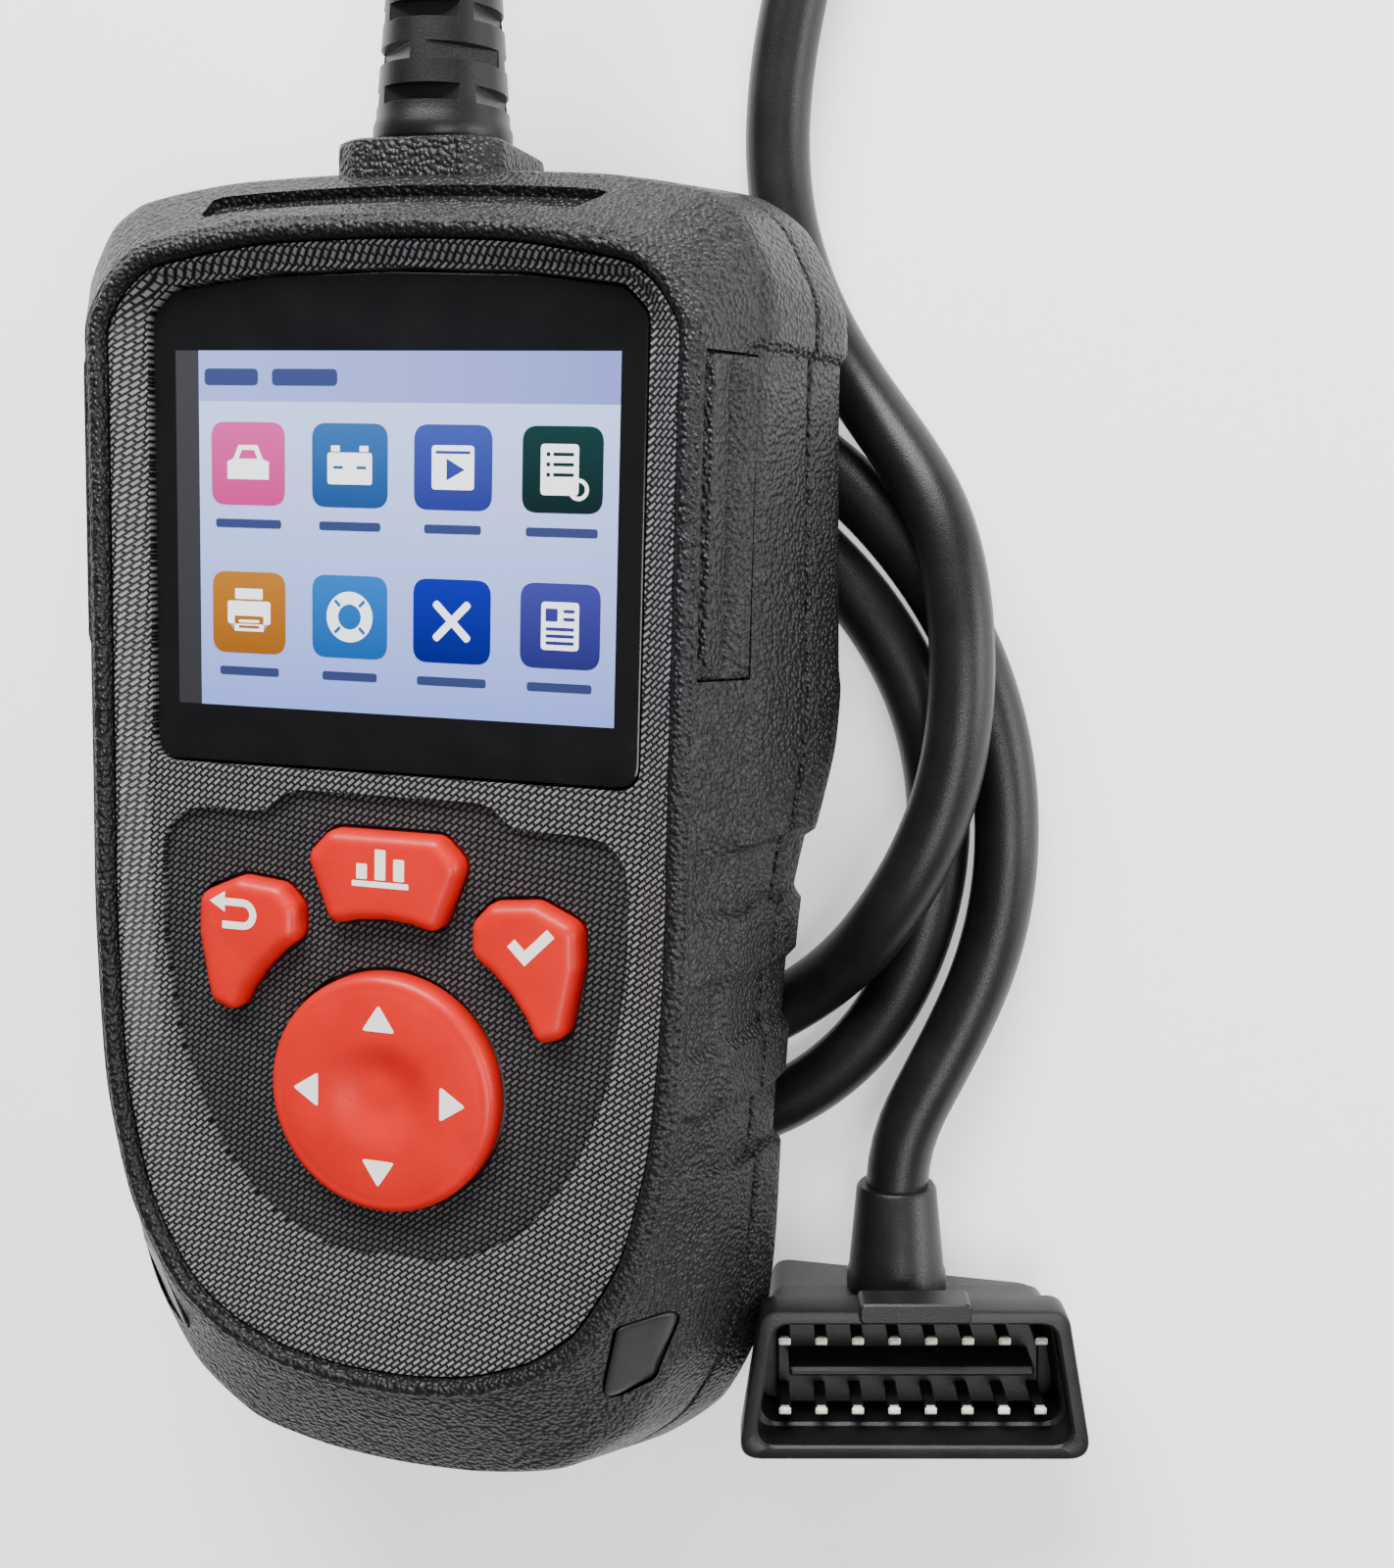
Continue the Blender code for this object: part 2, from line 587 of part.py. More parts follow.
def make_nav_disc(model):
    """The rocker disc with a dished middle, turned about its own axis; its origin is the rocking point."""
    top = KEY_TOP_Z + 0.3 - NAV_PIVOT_Z
    bottom = 0.6
    bowl = [(radius, top - 1.1 + 0.75 * (radius / 5.2) ** 2) for radius in (0.0, 2.6, 5.2)]
    profile = bowl + [(6.0, top), (NAV_RADIUS - 1.4, top), (NAV_RADIUS, top - 1.0),
                      (NAV_RADIUS, bottom), (2.6, bottom), (2.6, bottom + 1.2), (0.0, bottom + 1.2)]
    return turned("nav_disc", profile, "key_red", model, (0, NAV_CENTRE_Y, NAV_PIVOT_Z), (0, 0, 1), 40)


def make_nav_pivot(model):
    """The moulded post under the disc that it rocks on."""
    profile = [(0, 1.4), (1.4, 1.4), (2.0, 0.8), (2.0, -0.9), (0, -0.9)]
    return turned("nav_pivot", profile, "pale_nylon", model, (0, NAV_CENTRE_Y, NAV_PIVOT_Z), (0, 0, 1), 16)


FEET_PLACES = [(0, -1.6), (-16.0, -8.4), (16.0, -8.4), (-9.0, NAV_CENTRE_Y), (9.0, NAV_CENTRE_Y),
               (0, NAV_CENTRE_Y + 9.0), (0, NAV_CENTRE_Y - 9.0)]


def make_key_mat(model, cutters):
    """The silicone sheet under the keys; its seven feet press the contacts on the board."""
    points = rounded([(-25, 5.0), (25, 5.0), (25.4, -9.0), (21.0, -27.0), (13.0, -39.0), (-13.0, -39.0),
                      (-21.0, -27.0), (-25.4, -9.0)], 2.0)
    mat = prism("key_mat", points, 6.4, 7.3, "mat_grey", model)
    for index, place_xy in enumerate(FEET_PLACES):
        foot = make_cutter("mat_foot_%d" % index, circle(2.0, place_xy, 10), 5.6, 7.0, cutters)
        combine(mat, foot, "UNION")
    return mat


# ---------------------------------------------------------------- electronics

def make_screen(model):
    width, height = SCREEN_SIZE
    centre = (0, SCREEN_CENTRE_Y, 7.6)
    box("display_panel", (width + 0.6, height + 0.6, 1.4), centre, "display", model)
    box("display_tray", (width + 3.0, height + 5.0, 0.7), (0, SCREEN_CENTRE_Y, 6.3), "sheet_steel", model)
    ribbon = [(-8, 14.2), (8, 14.2), (8, 6.2), (-8, 6.2)]
    prism("display_ribbon", ribbon, 5.5, 5.65, "copper_orange", model)


def make_board(model):
    points = rounded([(-30, 52), (-24, 57), (24, 57), (30, 52), (30, -24), (24, -40), (12, -48),
                      (-12, -48), (-24, -40), (-30, -24)], 2.0)
    return prism("main_board", points, *BOARD_Z, "board_green", model)


def make_board_parts(model):
    """What hangs under the board, each on its own footprint."""
    under = BOARD_Z[0] - GAP
    chips = {"processor": ((12, 12, 1.6), (-6, 18)), "memory_chip": ((8, 6, 1.6), (12, 24)),
             "bus_transceiver": ((6, 5, 1.6), (-14, 38)), "power_regulator": ((7, 9, 2.2), (14, 42)),
             "cable_header": ((14, 6, 6.0), (0, 52))}
    for name, (size, place_xy) in chips.items():
        material = "pale_nylon" if name == "cable_header" else "chip_black"
        box(name, size, (*place_xy, under - size[2] / 2), material, model, bevel=0.3)
    can = rounded(rectangle(10.0, 4.2, (8, 8)), 2.0)
    prism("quartz_crystal", can, under - 3.2, under, "sheet_steel", model)
    for index, x in enumerate((-22, 20)):
        prism("capacitor_%d" % (index + 1), circle(2.6, (x, 0), 14), under - 5.2, under, "sheet_steel", model)
    prism("buzzer", circle(6.0, (-16, -22), 20), under - 4.8, under, "chip_black", model)
    box("cable_clamp", (14, 3, 5.0), (0, 63.0, -9.0), "screw_steel", model, bevel=0.4)


# ---------------------------------------------------------------- cable

def loop_points():
    """The loops under the reader: two turns and the crossing turn, read from their knots."""
    turned_angles, radii, lifts = (np.array(column, dtype=float) for column in zip(*LOOP_KNOTS))
    points = []
    total = turned_angles[-1]
    steps = round(total / LOOP_STEP_DEGREES)
    for index in range(steps + 1):
        turn = total * index / steps
        angle = math.radians(LOOP_START_ANGLE - turn)
        radius = smooth_value(turn, turned_angles, radii)
        lift = smooth_value(turn, turned_angles, lifts)
        points.append((LOOP_CENTRE[0] + radius * math.cos(angle),
                       LOOP_CENTRE[1] + radius * math.sin(angle), CABLE_Z + max(lift, 0.0)))
    return points


def smooth_value(at, knots, values):
    """Value between knots, eased so that the slope has no corners."""
    slopes = np.gradient(values, knots)
    index = int(np.clip(np.searchsorted(knots, at) - 1, 0, len(knots) - 2))
    width = knots[index + 1] - knots[index]
    t = (at - knots[index]) / width
    return float((2 * t ** 3 - 3 * t ** 2 + 1) * values[index] + (t ** 3 - 2 * t ** 2 + t) * width * slopes[index]
                 + (3 * t ** 2 - 2 * t ** 3) * values[index + 1] + (t ** 3 - t ** 2) * width * slopes[index + 1])


def plug_matrix():
    return Matrix.Rotation(PLUG_TURN, 3, "Z") @ Matrix.Rotation(PLUG_LEAN, 3, "Y")


def plug_point(x, y, height):
    """A point of the plug, from its mouth's centre: across, along its depth, and out of the mouth."""
    return Vector(PLUG_CENTRE) + plug_matrix() @ Vector((x, y, height))


def plug_relief_point(along):
    """A point on the axis of the plug's strain relief, from the plug's side, level with the floor."""
    flat = Matrix.Rotation(PLUG_TURN, 3, "Z") @ Vector((PLUG_RELIEF_X, PLUG_SIDE_Y + GAP + along, 0))
    return (PLUG_CENTRE[0] + flat.x, PLUG_CENTRE[1] + flat.y, FLOOR_Z + PLUG_RELIEF_Z)


def cable_route():
    """Every point of the route, from the reader's strain relief to the plug's."""
    end = [plug_relief_point(PLUG_RELIEF_LENGTH + away) for away in (4.5, 2 * GAP)]
    return LEAD_POINTS + loop_points() + end


def resample(points, step):
    """Points at equal steps along a smooth curve through the given ones."""
    control = [Vector(points[0]) * 2 - Vector(points[1])] + [Vector(p) for p in points]
    control.append(Vector(points[-1]) * 2 - Vector(points[-2]))
    fine = []
    for index in range(1, len(control) - 2):
        before, start, end, after = control[index - 1:index + 3]
        for part in range(12):
            t = part / 12
            fine.append(0.5 * (2 * start + (end - before) * t + (2 * before - 5 * start + 4 * end - after) * t ** 2
                               + (3 * start - before - 3 * end + after) * t ** 3))
    fine.append(control[-2])
    travelled = [0.0]
    for first, second in zip(fine, fine[1:]):
        travelled.append(travelled[-1] + (second - first).length)
    count = round(travelled[-1] / step)
    targets = np.linspace(0.0, travelled[-1], count + 1)
    columns = [np.interp(targets, travelled, [p[axis] for p in fine]) for axis in range(3)]
    return [Vector(values) for values in zip(*columns)]


def make_cable(model):
    route = [Vector(point) for point in cable_route()]
    points = route[:1] + resample(route[1:-1], CABLE_STEP) + route[-1:]
    curve = bpy.data.curves.new("cable", "CURVE")
    curve.dimensions = "3D"
    curve.bevel_depth = CABLE_RADIUS * MM
    curve.bevel_resolution = 2
    curve.use_fill_caps = True
    spline = curve.splines.new("POLY")
    spline.points.add(len(points) - 1)
    for target, point in zip(spline.points, points):
        target.co = (*(point * MM), 1.0)
    item = bpy.data.objects.new("cable", curve)
    item.data.materials.append(make_material("cable_black"))
    model.objects.link(item)
    return item


def make_case_relief(model):
    """The tapered sleeve that the cable leaves the reader through."""
    length = RELIEF_LENGTH
    profile = [(0, length), (4.7, length), (7.2, 1.4), (7.3, 0.0), (0, 0.0)]
    return turned("strain_relief", profile, "cable_black", model, (0, COLLAR_Y[1] + GAP, EXIT_Z), (0, 1, 0), 24)


# ---------------------------------------------------------------- plug

def plug_loop(distance, height):
    """The plug's outline, inset, at a height from its mouth: wide side at -Y, narrow side at +Y."""
    half = PLUG_DEEP / 2
    corners = [(-PLUG_WIDE / 2, -half), (PLUG_WIDE / 2, -half), (PLUG_NARROW / 2, half), (-PLUG_NARROW / 2, half)]
    outline = rounded(offset(corners, distance), 2.2)
    return [plug_point(x, y, height) for x, y in outline]


def plug_foot(distance, lift):
    """The plug's outline carried down its own axis to a level just above the floor."""
    axis = plug_matrix() @ Vector((0, 0, 1))
    return [point - axis * ((point.z - FLOOR_Z - lift) / axis.z) for point in plug_loop(distance, 0.0)]


def make_plug(model):
    """A low shell with a slanted foot, a collar round its mouth, and the mouth's open pocket."""
    loops = [plug_foot(PLUG_BODY_INSET + 0.8, 0.0), plug_foot(PLUG_BODY_INSET, 1.0),
             plug_loop(PLUG_BODY_INSET, PLUG_FLANGE), plug_loop(0.0, PLUG_FLANGE), plug_loop(0.0, 0.0),
             plug_loop(PLUG_WALL, 0.0), plug_loop(PLUG_WALL, PLUG_FLOOR)]
    return skin("plug_housing", loops, "plug_black", model)


def plug_block(name, size, low, high, corner, collection):
    """A block standing square to the plug's mouth."""
    outline = rounded(rectangle(*size), corner)
    loops = [[plug_point(x, y, height) for x, y in outline] for height in (low, high)]
    return skin(name, loops, "plug_black", collection)


def make_contact_carrier(model, cutters):
    """The insulator on the pocket's floor, with a rib between its two rows of contacts."""
    carrier = plug_block("contact_carrier", CARRIER_SIZE, PLUG_FLOOR + GAP, CARRIER_TOP, 1.0, model)
    rib = plug_block("carrier_rib", RIB_SIZE, CARRIER_TOP - 1.0, RIB_TOP, 0.4, cutters)
    combine(carrier, rib, "UNION")
    return carrier


def make_contacts(model):
    """Two rows of eight blades standing on the carrier."""
    low, high = CARRIER_TOP + GAP, PIN_TOP
    for row, side in enumerate((1, -1)):
        for column in range(CONTACTS_IN_ROW):
            x = (column - (CONTACTS_IN_ROW - 1) / 2) * PIN_PITCH
            centre = plug_point(x, side * PIN_ROW_OFFSET, (low + high) / 2)
            name = "contact_%02d" % (row * CONTACTS_IN_ROW + column + 1)
            blade = box(name, (*PIN_SIZE, high - low), centre, "plated_contact", model)
            blade.rotation_euler = plug_matrix().to_euler()


def make_plug_relief(model):
    length = PLUG_RELIEF_LENGTH
    profile = [(0, length), (4.4, length), (5.6, 2.0), (5.6, 0.0), (0, 0.0)]
    start = Vector(plug_relief_point(0.0))
    axis = Vector(plug_relief_point(1.0)) - start
    return turned("plug_relief", profile, "cable_black", model, start, axis, 20)


def move_to_origin(model, cutters):
    """The numbers above are measured from the case; the part's origin is its box's middle."""
    for item in [*model.objects, *cutters.objects]:
        item.location.y -= BOX_MIDDLE_Y * MM


def build():
    clear_scene()
    model = make_collection(MODEL_NAME)
    cutters = make_collection("cutters")
    make_front_shell(model, cutters)
    make_rear_shell(model, cutters)
    make_screws(model)
    make_rear_label(model)
    for side, name in ((-1, "left"), (1, "right")):
        make_grip("side_grip_" + name, side, 0.0, model)
        make_corner_pad("corner_pad_" + name, side, 0.0, model)
    make_collar(model)
    make_face_plate(model, cutters)
    make_window(model)
    for name in KEY_OUTLINES:
        make_key(name, model)
    make_nav_disc(model)
    make_nav_pivot(model)
    make_key_mat(model, cutters)
    make_screen(model)
    make_board(model)
    make_board_parts(model)
    make_case_relief(model)
    make_cable(model)
    make_plug(model)
    make_contact_carrier(model, cutters)
    make_contacts(model)
    make_plug_relief(model)
    move_to_origin(model, cutters)


build()
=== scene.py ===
import math

import bmesh
import bpy
import numpy as np
from mathutils import Matrix, Vector


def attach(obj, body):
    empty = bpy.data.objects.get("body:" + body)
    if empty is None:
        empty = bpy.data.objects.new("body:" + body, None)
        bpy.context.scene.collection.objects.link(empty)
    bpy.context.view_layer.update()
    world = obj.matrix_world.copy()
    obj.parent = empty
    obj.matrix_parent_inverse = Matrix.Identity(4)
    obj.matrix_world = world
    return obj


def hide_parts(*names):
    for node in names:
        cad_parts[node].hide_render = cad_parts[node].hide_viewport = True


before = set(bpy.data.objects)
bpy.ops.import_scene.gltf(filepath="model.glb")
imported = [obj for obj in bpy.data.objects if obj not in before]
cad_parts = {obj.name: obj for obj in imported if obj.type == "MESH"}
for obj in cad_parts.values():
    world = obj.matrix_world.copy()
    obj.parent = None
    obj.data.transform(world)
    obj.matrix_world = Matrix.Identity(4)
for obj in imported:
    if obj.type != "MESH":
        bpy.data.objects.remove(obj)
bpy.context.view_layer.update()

# Lengths in this file are in millimetres, measured from the case's own middle. A mesh is scaled to metres
# when it is made, and its object is moved to the part's origin when it is shown.
MM = 0.001
HOUSING = "housing"

# ---------------------------------------------------------------- driving sizes

BACK_Z = -14.0
WIDEST_Z = -7.5
PARTING_Z = -2.0
CEILING_Z = 5.8                  # top of the hollow in the front shell
EDGE_Z = 6.6                     # outer edge of the broad bevel
CREST_FOOT_Z = 13.3
CREST_Z = 14.0
PLATE_FLAT_Z = 10.8
KEY_FIELD_Z = 10.0
FIELD_CORNER = 30.0              # long fillets, so the field ends in one smooth arc
LENS_TOP_Z = 10.4
KEY_TOP_Z = 12.4
WALL = 2.2
GAP = 0.3

NAV_CENTRE_Y = -24.5
NAV_RADIUS = 12.9
KEY_ARC_RADIUS = 18.7
KEY_GAP = 0.45

SCREEN_CENTRE = (0.0, 34.0)
SCREEN_SIZE = (48.96, 36.72)

CABLE_RADIUS = 3.5
FLOOR_Z = -21.5
CABLE_Z = FLOOR_Z + CABLE_RADIUS
COLLAR_Y = (72.2, 74.0)
BOX_MIDDLE_Y = 1.5               # the part's origin, measured from the case's own middle
RELIEF_LENGTH = 33.0

PLUG_CENTRE = (55.2, -55.8, -5.0)
PLUG_TURN = math.radians(2.3)
PLUG_LEAN = math.radians(15.0)
PLUG_WIDE = 38.6
PLUG_NARROW = 33.0
PLUG_DEEP = 17.0
PLUG_WALL = 1.6
PLUG_BODY_INSET = 2.0
PLUG_FLANGE = -4.6
PLUG_FLOOR = -11.0
PLUG_SIDE_Y = PLUG_DEEP / 2 - PLUG_BODY_INSET
PLUG_RELIEF_X = -4.0
PLUG_RELIEF_Z = 5.9
PLUG_RELIEF_LENGTH = 12.0
CONTACTS_IN_ROW = 8
CARRIER_SIZE = (29.6, 12.6)
CARRIER_TOP = -9.0
RIB_SIZE = (27.0, 1.0)
RIB_TOP = -3.4
PIN_TOP = -2.2
PIN_PITCH = 4.0
PIN_ROW_OFFSET = 4.0

# Half outlines, from the top centre clockwise to the bottom centre: the widest level, the outer edge of
# the broad bevel, the crest's mouth and the flat face inside it. Their points match one for one.
CASE_HALF = [(0, 71.9), (20, 71.4), (33, 69.6), (38.3, 66.0), (42.6, 57.8), (42.9, 53.6), (42.2, 52.3),
             (43.3, 21.5), (43.6, 19.0), (43.2, 12.5), (40.2, -3.0), (38.9, -28.0), (38.6, -42.0),
             (37.6, -52.0), (33.2, -61.8), (25.5, -68.0), (12, -70.6), (0, -71.0)]
EDGE_HALF = [(0, 70.6), (20, 69.9), (30.7, 68.1), (34.6, 65.6), (37.5, 60.0), (38.0, 54.0), (37.3, 52.5),
             (37.6, 21.5), (37.8, 19.0), (37.5, 12.0), (37.0, -4.0), (35.5, -29.0), (34.0, -42.0),
             (30.9, -52.2), (25.5, -61.0), (18, -66.4), (9, -68.4), (0, -68.9)]
CREST_HALF = [(0, 63.2), (14, 62.7), (25.8, 60.6), (28.8, 58.4), (31.1, 54.5), (31.2, 50.0), (31.2, 47.0),
              (31.2, 20.0), (31.2, 16.0), (31.2, 8.0), (31.2, -8.0), (30.2, -26.0), (27.4, -38.5),
              (22.6, -47.2), (17.5, -51.4), (11.0, -54.0), (5.0, -55.0), (0, -55.2)]
DISH_HALF = [(0, 61.1), (13, 60.7), (25.2, 59.2), (27.2, 57.4), (28.1, 54.0), (28.1, 50.0), (28.1, 47.0),
             (28.1, 20.0), (28.1, 16.0), (28.1, 8.0), (27.8, -8.0), (26.2, -20.0), (23.2, -30.0),
             (18.6, -37.4), (14.0, -41.4), (9.0, -43.8), (4.4, -44.8), (0, -45.0)]
LENS_HALF = [(0, 60.2), (14, 59.8), (24.6, 58.5), (27.2, 56.0), (27.2, 9.6), (0, 9.6)]
KEY_FIELD = [(26.4, 4.6), (14.0, 4.6), (11.2, 7.2), (-11.2, 7.2), (-14.0, 4.6), (-26.4, 4.6),
             (-26.6, -9.0), (-24.8, -21.5), (-21.2, -31.0), (-15.4, -38.6), (-7.6, -42.9),
             (7.6, -42.9), (15.4, -38.6), (21.2, -31.0), (24.8, -21.5), (26.6, -9.0)]
KEY_OUTLINES = {
    "back_key": [(-9.9, -5.2), (-11.9, -3.0), (-16.9, -2.5), (-21.6, -4.6), (-21.7, -9.0), (-20.3, -16.4)],
    "ok_key": [(20.3, -16.4), (21.7, -9.0), (21.6, -4.6), (16.9, -2.5), (11.9, -3.0), (9.9, -5.2)],
    "menu_key": [(8.9, 0.6), (6.2, 3.4), (-6.2, 3.4), (-8.9, 0.6)],
}
KEY_ARCS = {"back_key": (122, 158), "ok_key": (22, 58), "menu_key": (109, 71)}

# The lead from the strain relief to the loops: x, y, z
LEAD_POINTS = [(0, 107.9, -2.0), (0, 114, -2.1), (-1.5, 124, -4.6), (-5.5, 135, -9.0), (-9.5, 146, -13.6),
               (-10.5, 158, -16.9), (-5.0, 170, -18.0), (6.0, 177.5, -18.0), (19.0, 179.0, -18.0),
               (32.0, 174.5, -18.0), (41.5, 165, -18.0), (45.5, 152, -18.0), (45.0, 138, -18.0),
               (42.0, 124, -18.0), (38.0, 110, -18.0), (34.5, 97, -18.0), (32.3, 85, -18.0),
               (32.0, 75, -18.0), (33.6, 66.5, -18.0), (37.0, 58.5, -18.0)]
# The loops: turned angle in degrees, radius, and lift where the last turn crosses the others
LOOP_CENTRE = (14.0, 10.5)
LOOP_START_ANGLE = 55.0
LOOP_KNOTS = [(0, 49.2, 0.3), (8, 48.7, 1.9), (15, 48.0, 4.3), (32, 44.8, 7.3), (55, 41.4, 7.3),
              (75, 39.0, 7.3), (90, 37.5, 5.0), (100, 37.1, 0.6), (110, 36.8, 0.0), (180, 36.8, 0.0),
              (235, 36.0, 0.0), (325, 34.3, 0.0), (375, 33.5, 0.0), (395, 35.8, 0.0), (415, 38.5, 0.0),
              (435, 41.2, 0.0), (457, 45.0, 0.0), (475, 46.4, 0.0), (530, 45.0, 0.0), (595, 43.6, 0.0),
              (685, 42.0, 0.0), (735, 41.2, 0.0), (755, 43.3, 0.0), (775, 45.9, 0.0), (795, 49.2, 0.0),
              (802, 50.4, 0.0)]
LOOP_STEP_DEGREES = 20.0
CABLE_STEP = 8.0

OUTLINE_STEPS = 22               # fine points between two outline points


# ---------------------------------------------------------------- outlines

def mirrored(half):
    """A closed outline from its right half, which starts and ends on the centre line."""
    left = [(-x, y) for x, y in reversed(half[1:-1])]
    return list(half) + left


def hermite(t, start, end, leaving, arriving):
    """A cubic from start to end with the given slopes at its ends; t runs from 0 to 1."""
    return ((2 * t ** 3 - 3 * t ** 2 + 1) * start + (t ** 3 - 2 * t ** 2 + t) * leaving
            + (3 * t ** 2 - 2 * t ** 3) * end + (t ** 3 - t ** 2) * arriving)


def flowing(points, steps=OUTLINE_STEPS, tension=0.35):
    """A closed smooth curve through the points, with equal numbers of steps between them."""
    control = np.array(points, dtype=float)
    count = len(control)
    lengths = np.linalg.norm(np.roll(control, -1, axis=0) - control, axis=1)
    tangents = np.zeros_like(control)
    for index in range(count):
        chord = control[(index + 1) % count] - control[index - 1]
        tangents[index] = chord / (np.linalg.norm(chord) + 1e-9)
    result = []
    for index in range(count):
        start, end = control[index], control[(index + 1) % count]
        reach = lengths[index] * tension * 2
        leaving, arriving = reach * tangents[index], reach * tangents[(index + 1) % count]
        result += [hermite(step / steps, start, end, leaving, arriving) for step in range(steps)]
    return np.array(result)


def inset(points, distance):
    """A fine outline moved inwards; where it would fold over itself, the fold is drawn together."""
    points = np.array(points, dtype=float)
    tangent = np.roll(points, -1, axis=0) - np.roll(points, 1, axis=0)
    tangent /= np.linalg.norm(tangent, axis=1)[:, None] + 1e-9
    area = np.sum(np.roll(points[:, 0], 1) * points[:, 1] - points[:, 0] * np.roll(points[:, 1], 1))
    side = 1.0 if area > 0 else -1.0
    moved = points + side * distance * np.column_stack([-tangent[:, 1], tangent[:, 0]])
    reach = np.min(np.linalg.norm(moved[:, None] - points[None, :], axis=2), axis=1)
    kept = np.flatnonzero(reach > abs(distance) * 0.985 - 0.01)
    count = len(points)
    around = np.concatenate([kept - count, kept, kept + count])
    places = np.concatenate([moved[kept]] * 3)
    return np.column_stack([np.interp(np.arange(count), around, places[:, axis]) for axis in range(2)])


def evenly(points, step=0.25):
    """Points at equal steps round a closed outline."""
    closed = np.array(list(points) + [points[0]], dtype=float)
    travelled = np.concatenate([[0.0], np.cumsum(np.linalg.norm(np.diff(closed, axis=0), axis=1))])
    targets = np.linspace(0.0, travelled[-1], round(travelled[-1] / step) + 1)[:-1]
    return np.column_stack([np.interp(targets, travelled, closed[:, axis]) for axis in range(2)])


def offset(points, distance):
    """The outline with every side moved inwards by the distance, its corners kept mitred."""
    result = []
    count = len(points)
    area = sum(points[i - 1][0] * points[i][1] - points[i][0] * points[i - 1][1] for i in range(count))
    side = 1.0 if area > 0 else -1.0
    for index in range(count):
        corner = Vector(points[index])
        arriving = (corner - Vector(points[index - 1])).normalized()
        leaving = (Vector(points[(index + 1) % count]) - corner).normalized()
        inward = Vector((-arriving.y - leaving.y, arriving.x + leaving.x)) * side
        inward.normalize()
        stretch = 1 / inward.dot(Vector((-arriving.y, arriving.x)) * side)
        result.append(tuple(corner + inward * distance * stretch))
    return result


def rounded(points, radius, arc_points=8):
    """Each corner becomes a few points on a fillet of about the given radius."""
    result = []
    count = len(points)
    for index in range(count):
        before, corner, after = (Vector(points[i % count]) for i in (index - 1, index, index + 1))
        to_before, to_after = before - corner, after - corner
        turn = math.pi - to_before.angle(to_after, math.pi)
        reach = min(radius * math.tan(turn / 2), 0.45 * to_before.length, 0.45 * to_after.length)
        start = corner + to_before.normalized() * reach
        end = corner + to_after.normalized() * reach
        for step in range(arc_points):
            t = step / (arc_points - 1)
            result.append(tuple(start * (1 - t) ** 2 + corner * 2 * t * (1 - t) + end * t ** 2))
    return result


def rectangle(width, depth, centre=(0.0, 0.0)):
    x, y = centre
    return [(x - width / 2, y - depth / 2), (x + width / 2, y - depth / 2),
            (x + width / 2, y + depth / 2), (x - width / 2, y + depth / 2)]


def circle(radius, centre=(0.0, 0.0), sides=64):
    angles = [2 * math.pi * step / sides for step in range(sides)]
    return [(centre[0] + radius * math.cos(a), centre[1] + radius * math.sin(a)) for a in angles]


def key_outline(name, corner=2.0):
    """A key's edge: its straight sides, and an inner side concentric with the navigation disc."""
    start, end = KEY_ARCS[name]
    arc = []
    for step in range(5):
        angle = math.radians(end + (start - end) * step / 4)
        arc.append((KEY_ARC_RADIUS * math.cos(angle), NAV_CENTRE_Y + KEY_ARC_RADIUS * math.sin(angle)))
    straight = KEY_OUTLINES[name]
    if math.dist(straight[-1], arc[0]) > math.dist(straight[-1], arc[-1]):
        arc.reverse()
    return rounded(straight + arc, corner)


def both_sides(right):
    """A closed outline from its right side, with no point on the centre line."""
    return right + [(-x, y) for x, y in reversed(right)]


def scaled(points, factor):
    return [(factor * x, factor * y) for x, y in points]


def clean(points, least=0.01):
    """The outline without points that lie on top of each other."""
    kept = []
    for point in points:
        if not kept or math.dist(point, kept[-1]) > least:
            kept.append(tuple(point))
    if math.dist(kept[0], kept[-1]) < least:
        kept.pop()
    return kept


# ---------------------------------------------------------------- solids

def placed(point):
    """A point measured in millimetres from the case's middle, in the part's own frame."""
    return (Vector(point) - Vector((0.0, BOX_MIDDLE_Y, 0.0))) * MM


def show(name, mesh, material, body=HOUSING, replaces=(), location=(0.0, 0.0, 0.0)):
    """An object of the part: it wears a material, rides on a body and may stand for CAD nodes."""
    if material is not None:
        mesh.materials.append(material)
    item = bpy.data.objects.new(name, mesh)
    item.location = placed(location)
    bpy.context.scene.collection.objects.link(item)
    if body:
        bpy.context.view_layer.update()
        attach(item, body)
    if replaces:
        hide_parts(*replaces)
    return item


def mesh_from(name, shape, angle=35.0):
    bmesh.ops.recalc_face_normals(shape, faces=shape.faces)
    mesh = bpy.data.meshes.new(name)
    shape.to_mesh(mesh)
    shape.free()
    mesh.shade_smooth()
    mesh.set_sharp_from_angle(angle=math.radians(angle))
    return mesh


def skin_mesh(name, loops, closed=False, angle=35.0):
    """A closed surface over loops of equal length, capped at both ends or joined end to end."""
    shape = bmesh.new()
    rows = [[shape.verts.new(Vector(point) * MM) for point in loop] for loop in loops]
    pairs = list(zip(rows, rows[1:]))
    if closed:
        pairs.append((rows[-1], rows[0]))
    for lower, upper in pairs:
        count = len(lower)
        for index in range(count):
            following = (index + 1) % count
            shape.faces.new((lower[index], lower[following], upper[following], upper[index]))
    if not closed:
        shape.faces.new(list(reversed(rows[0])))
        shape.faces.new(rows[-1])
    return mesh_from(name, shape, angle)


def level(points, z):
    return [(x, y, z) for x, y in points]


def hidden(item):
    item.hide_render = True
    item.hide_viewport = True
    return item


def cutter(name, loops):
    """A hidden solid that another piece is cut with."""
    return hidden(show(name, skin_mesh(name, loops), None, body=None))


def subtract(item, tool):
    cut = item.modifiers.new(tool.name, "BOOLEAN")
    cut.operation = "DIFFERENCE"
    cut.solver = "EXACT"
    cut.object = tool


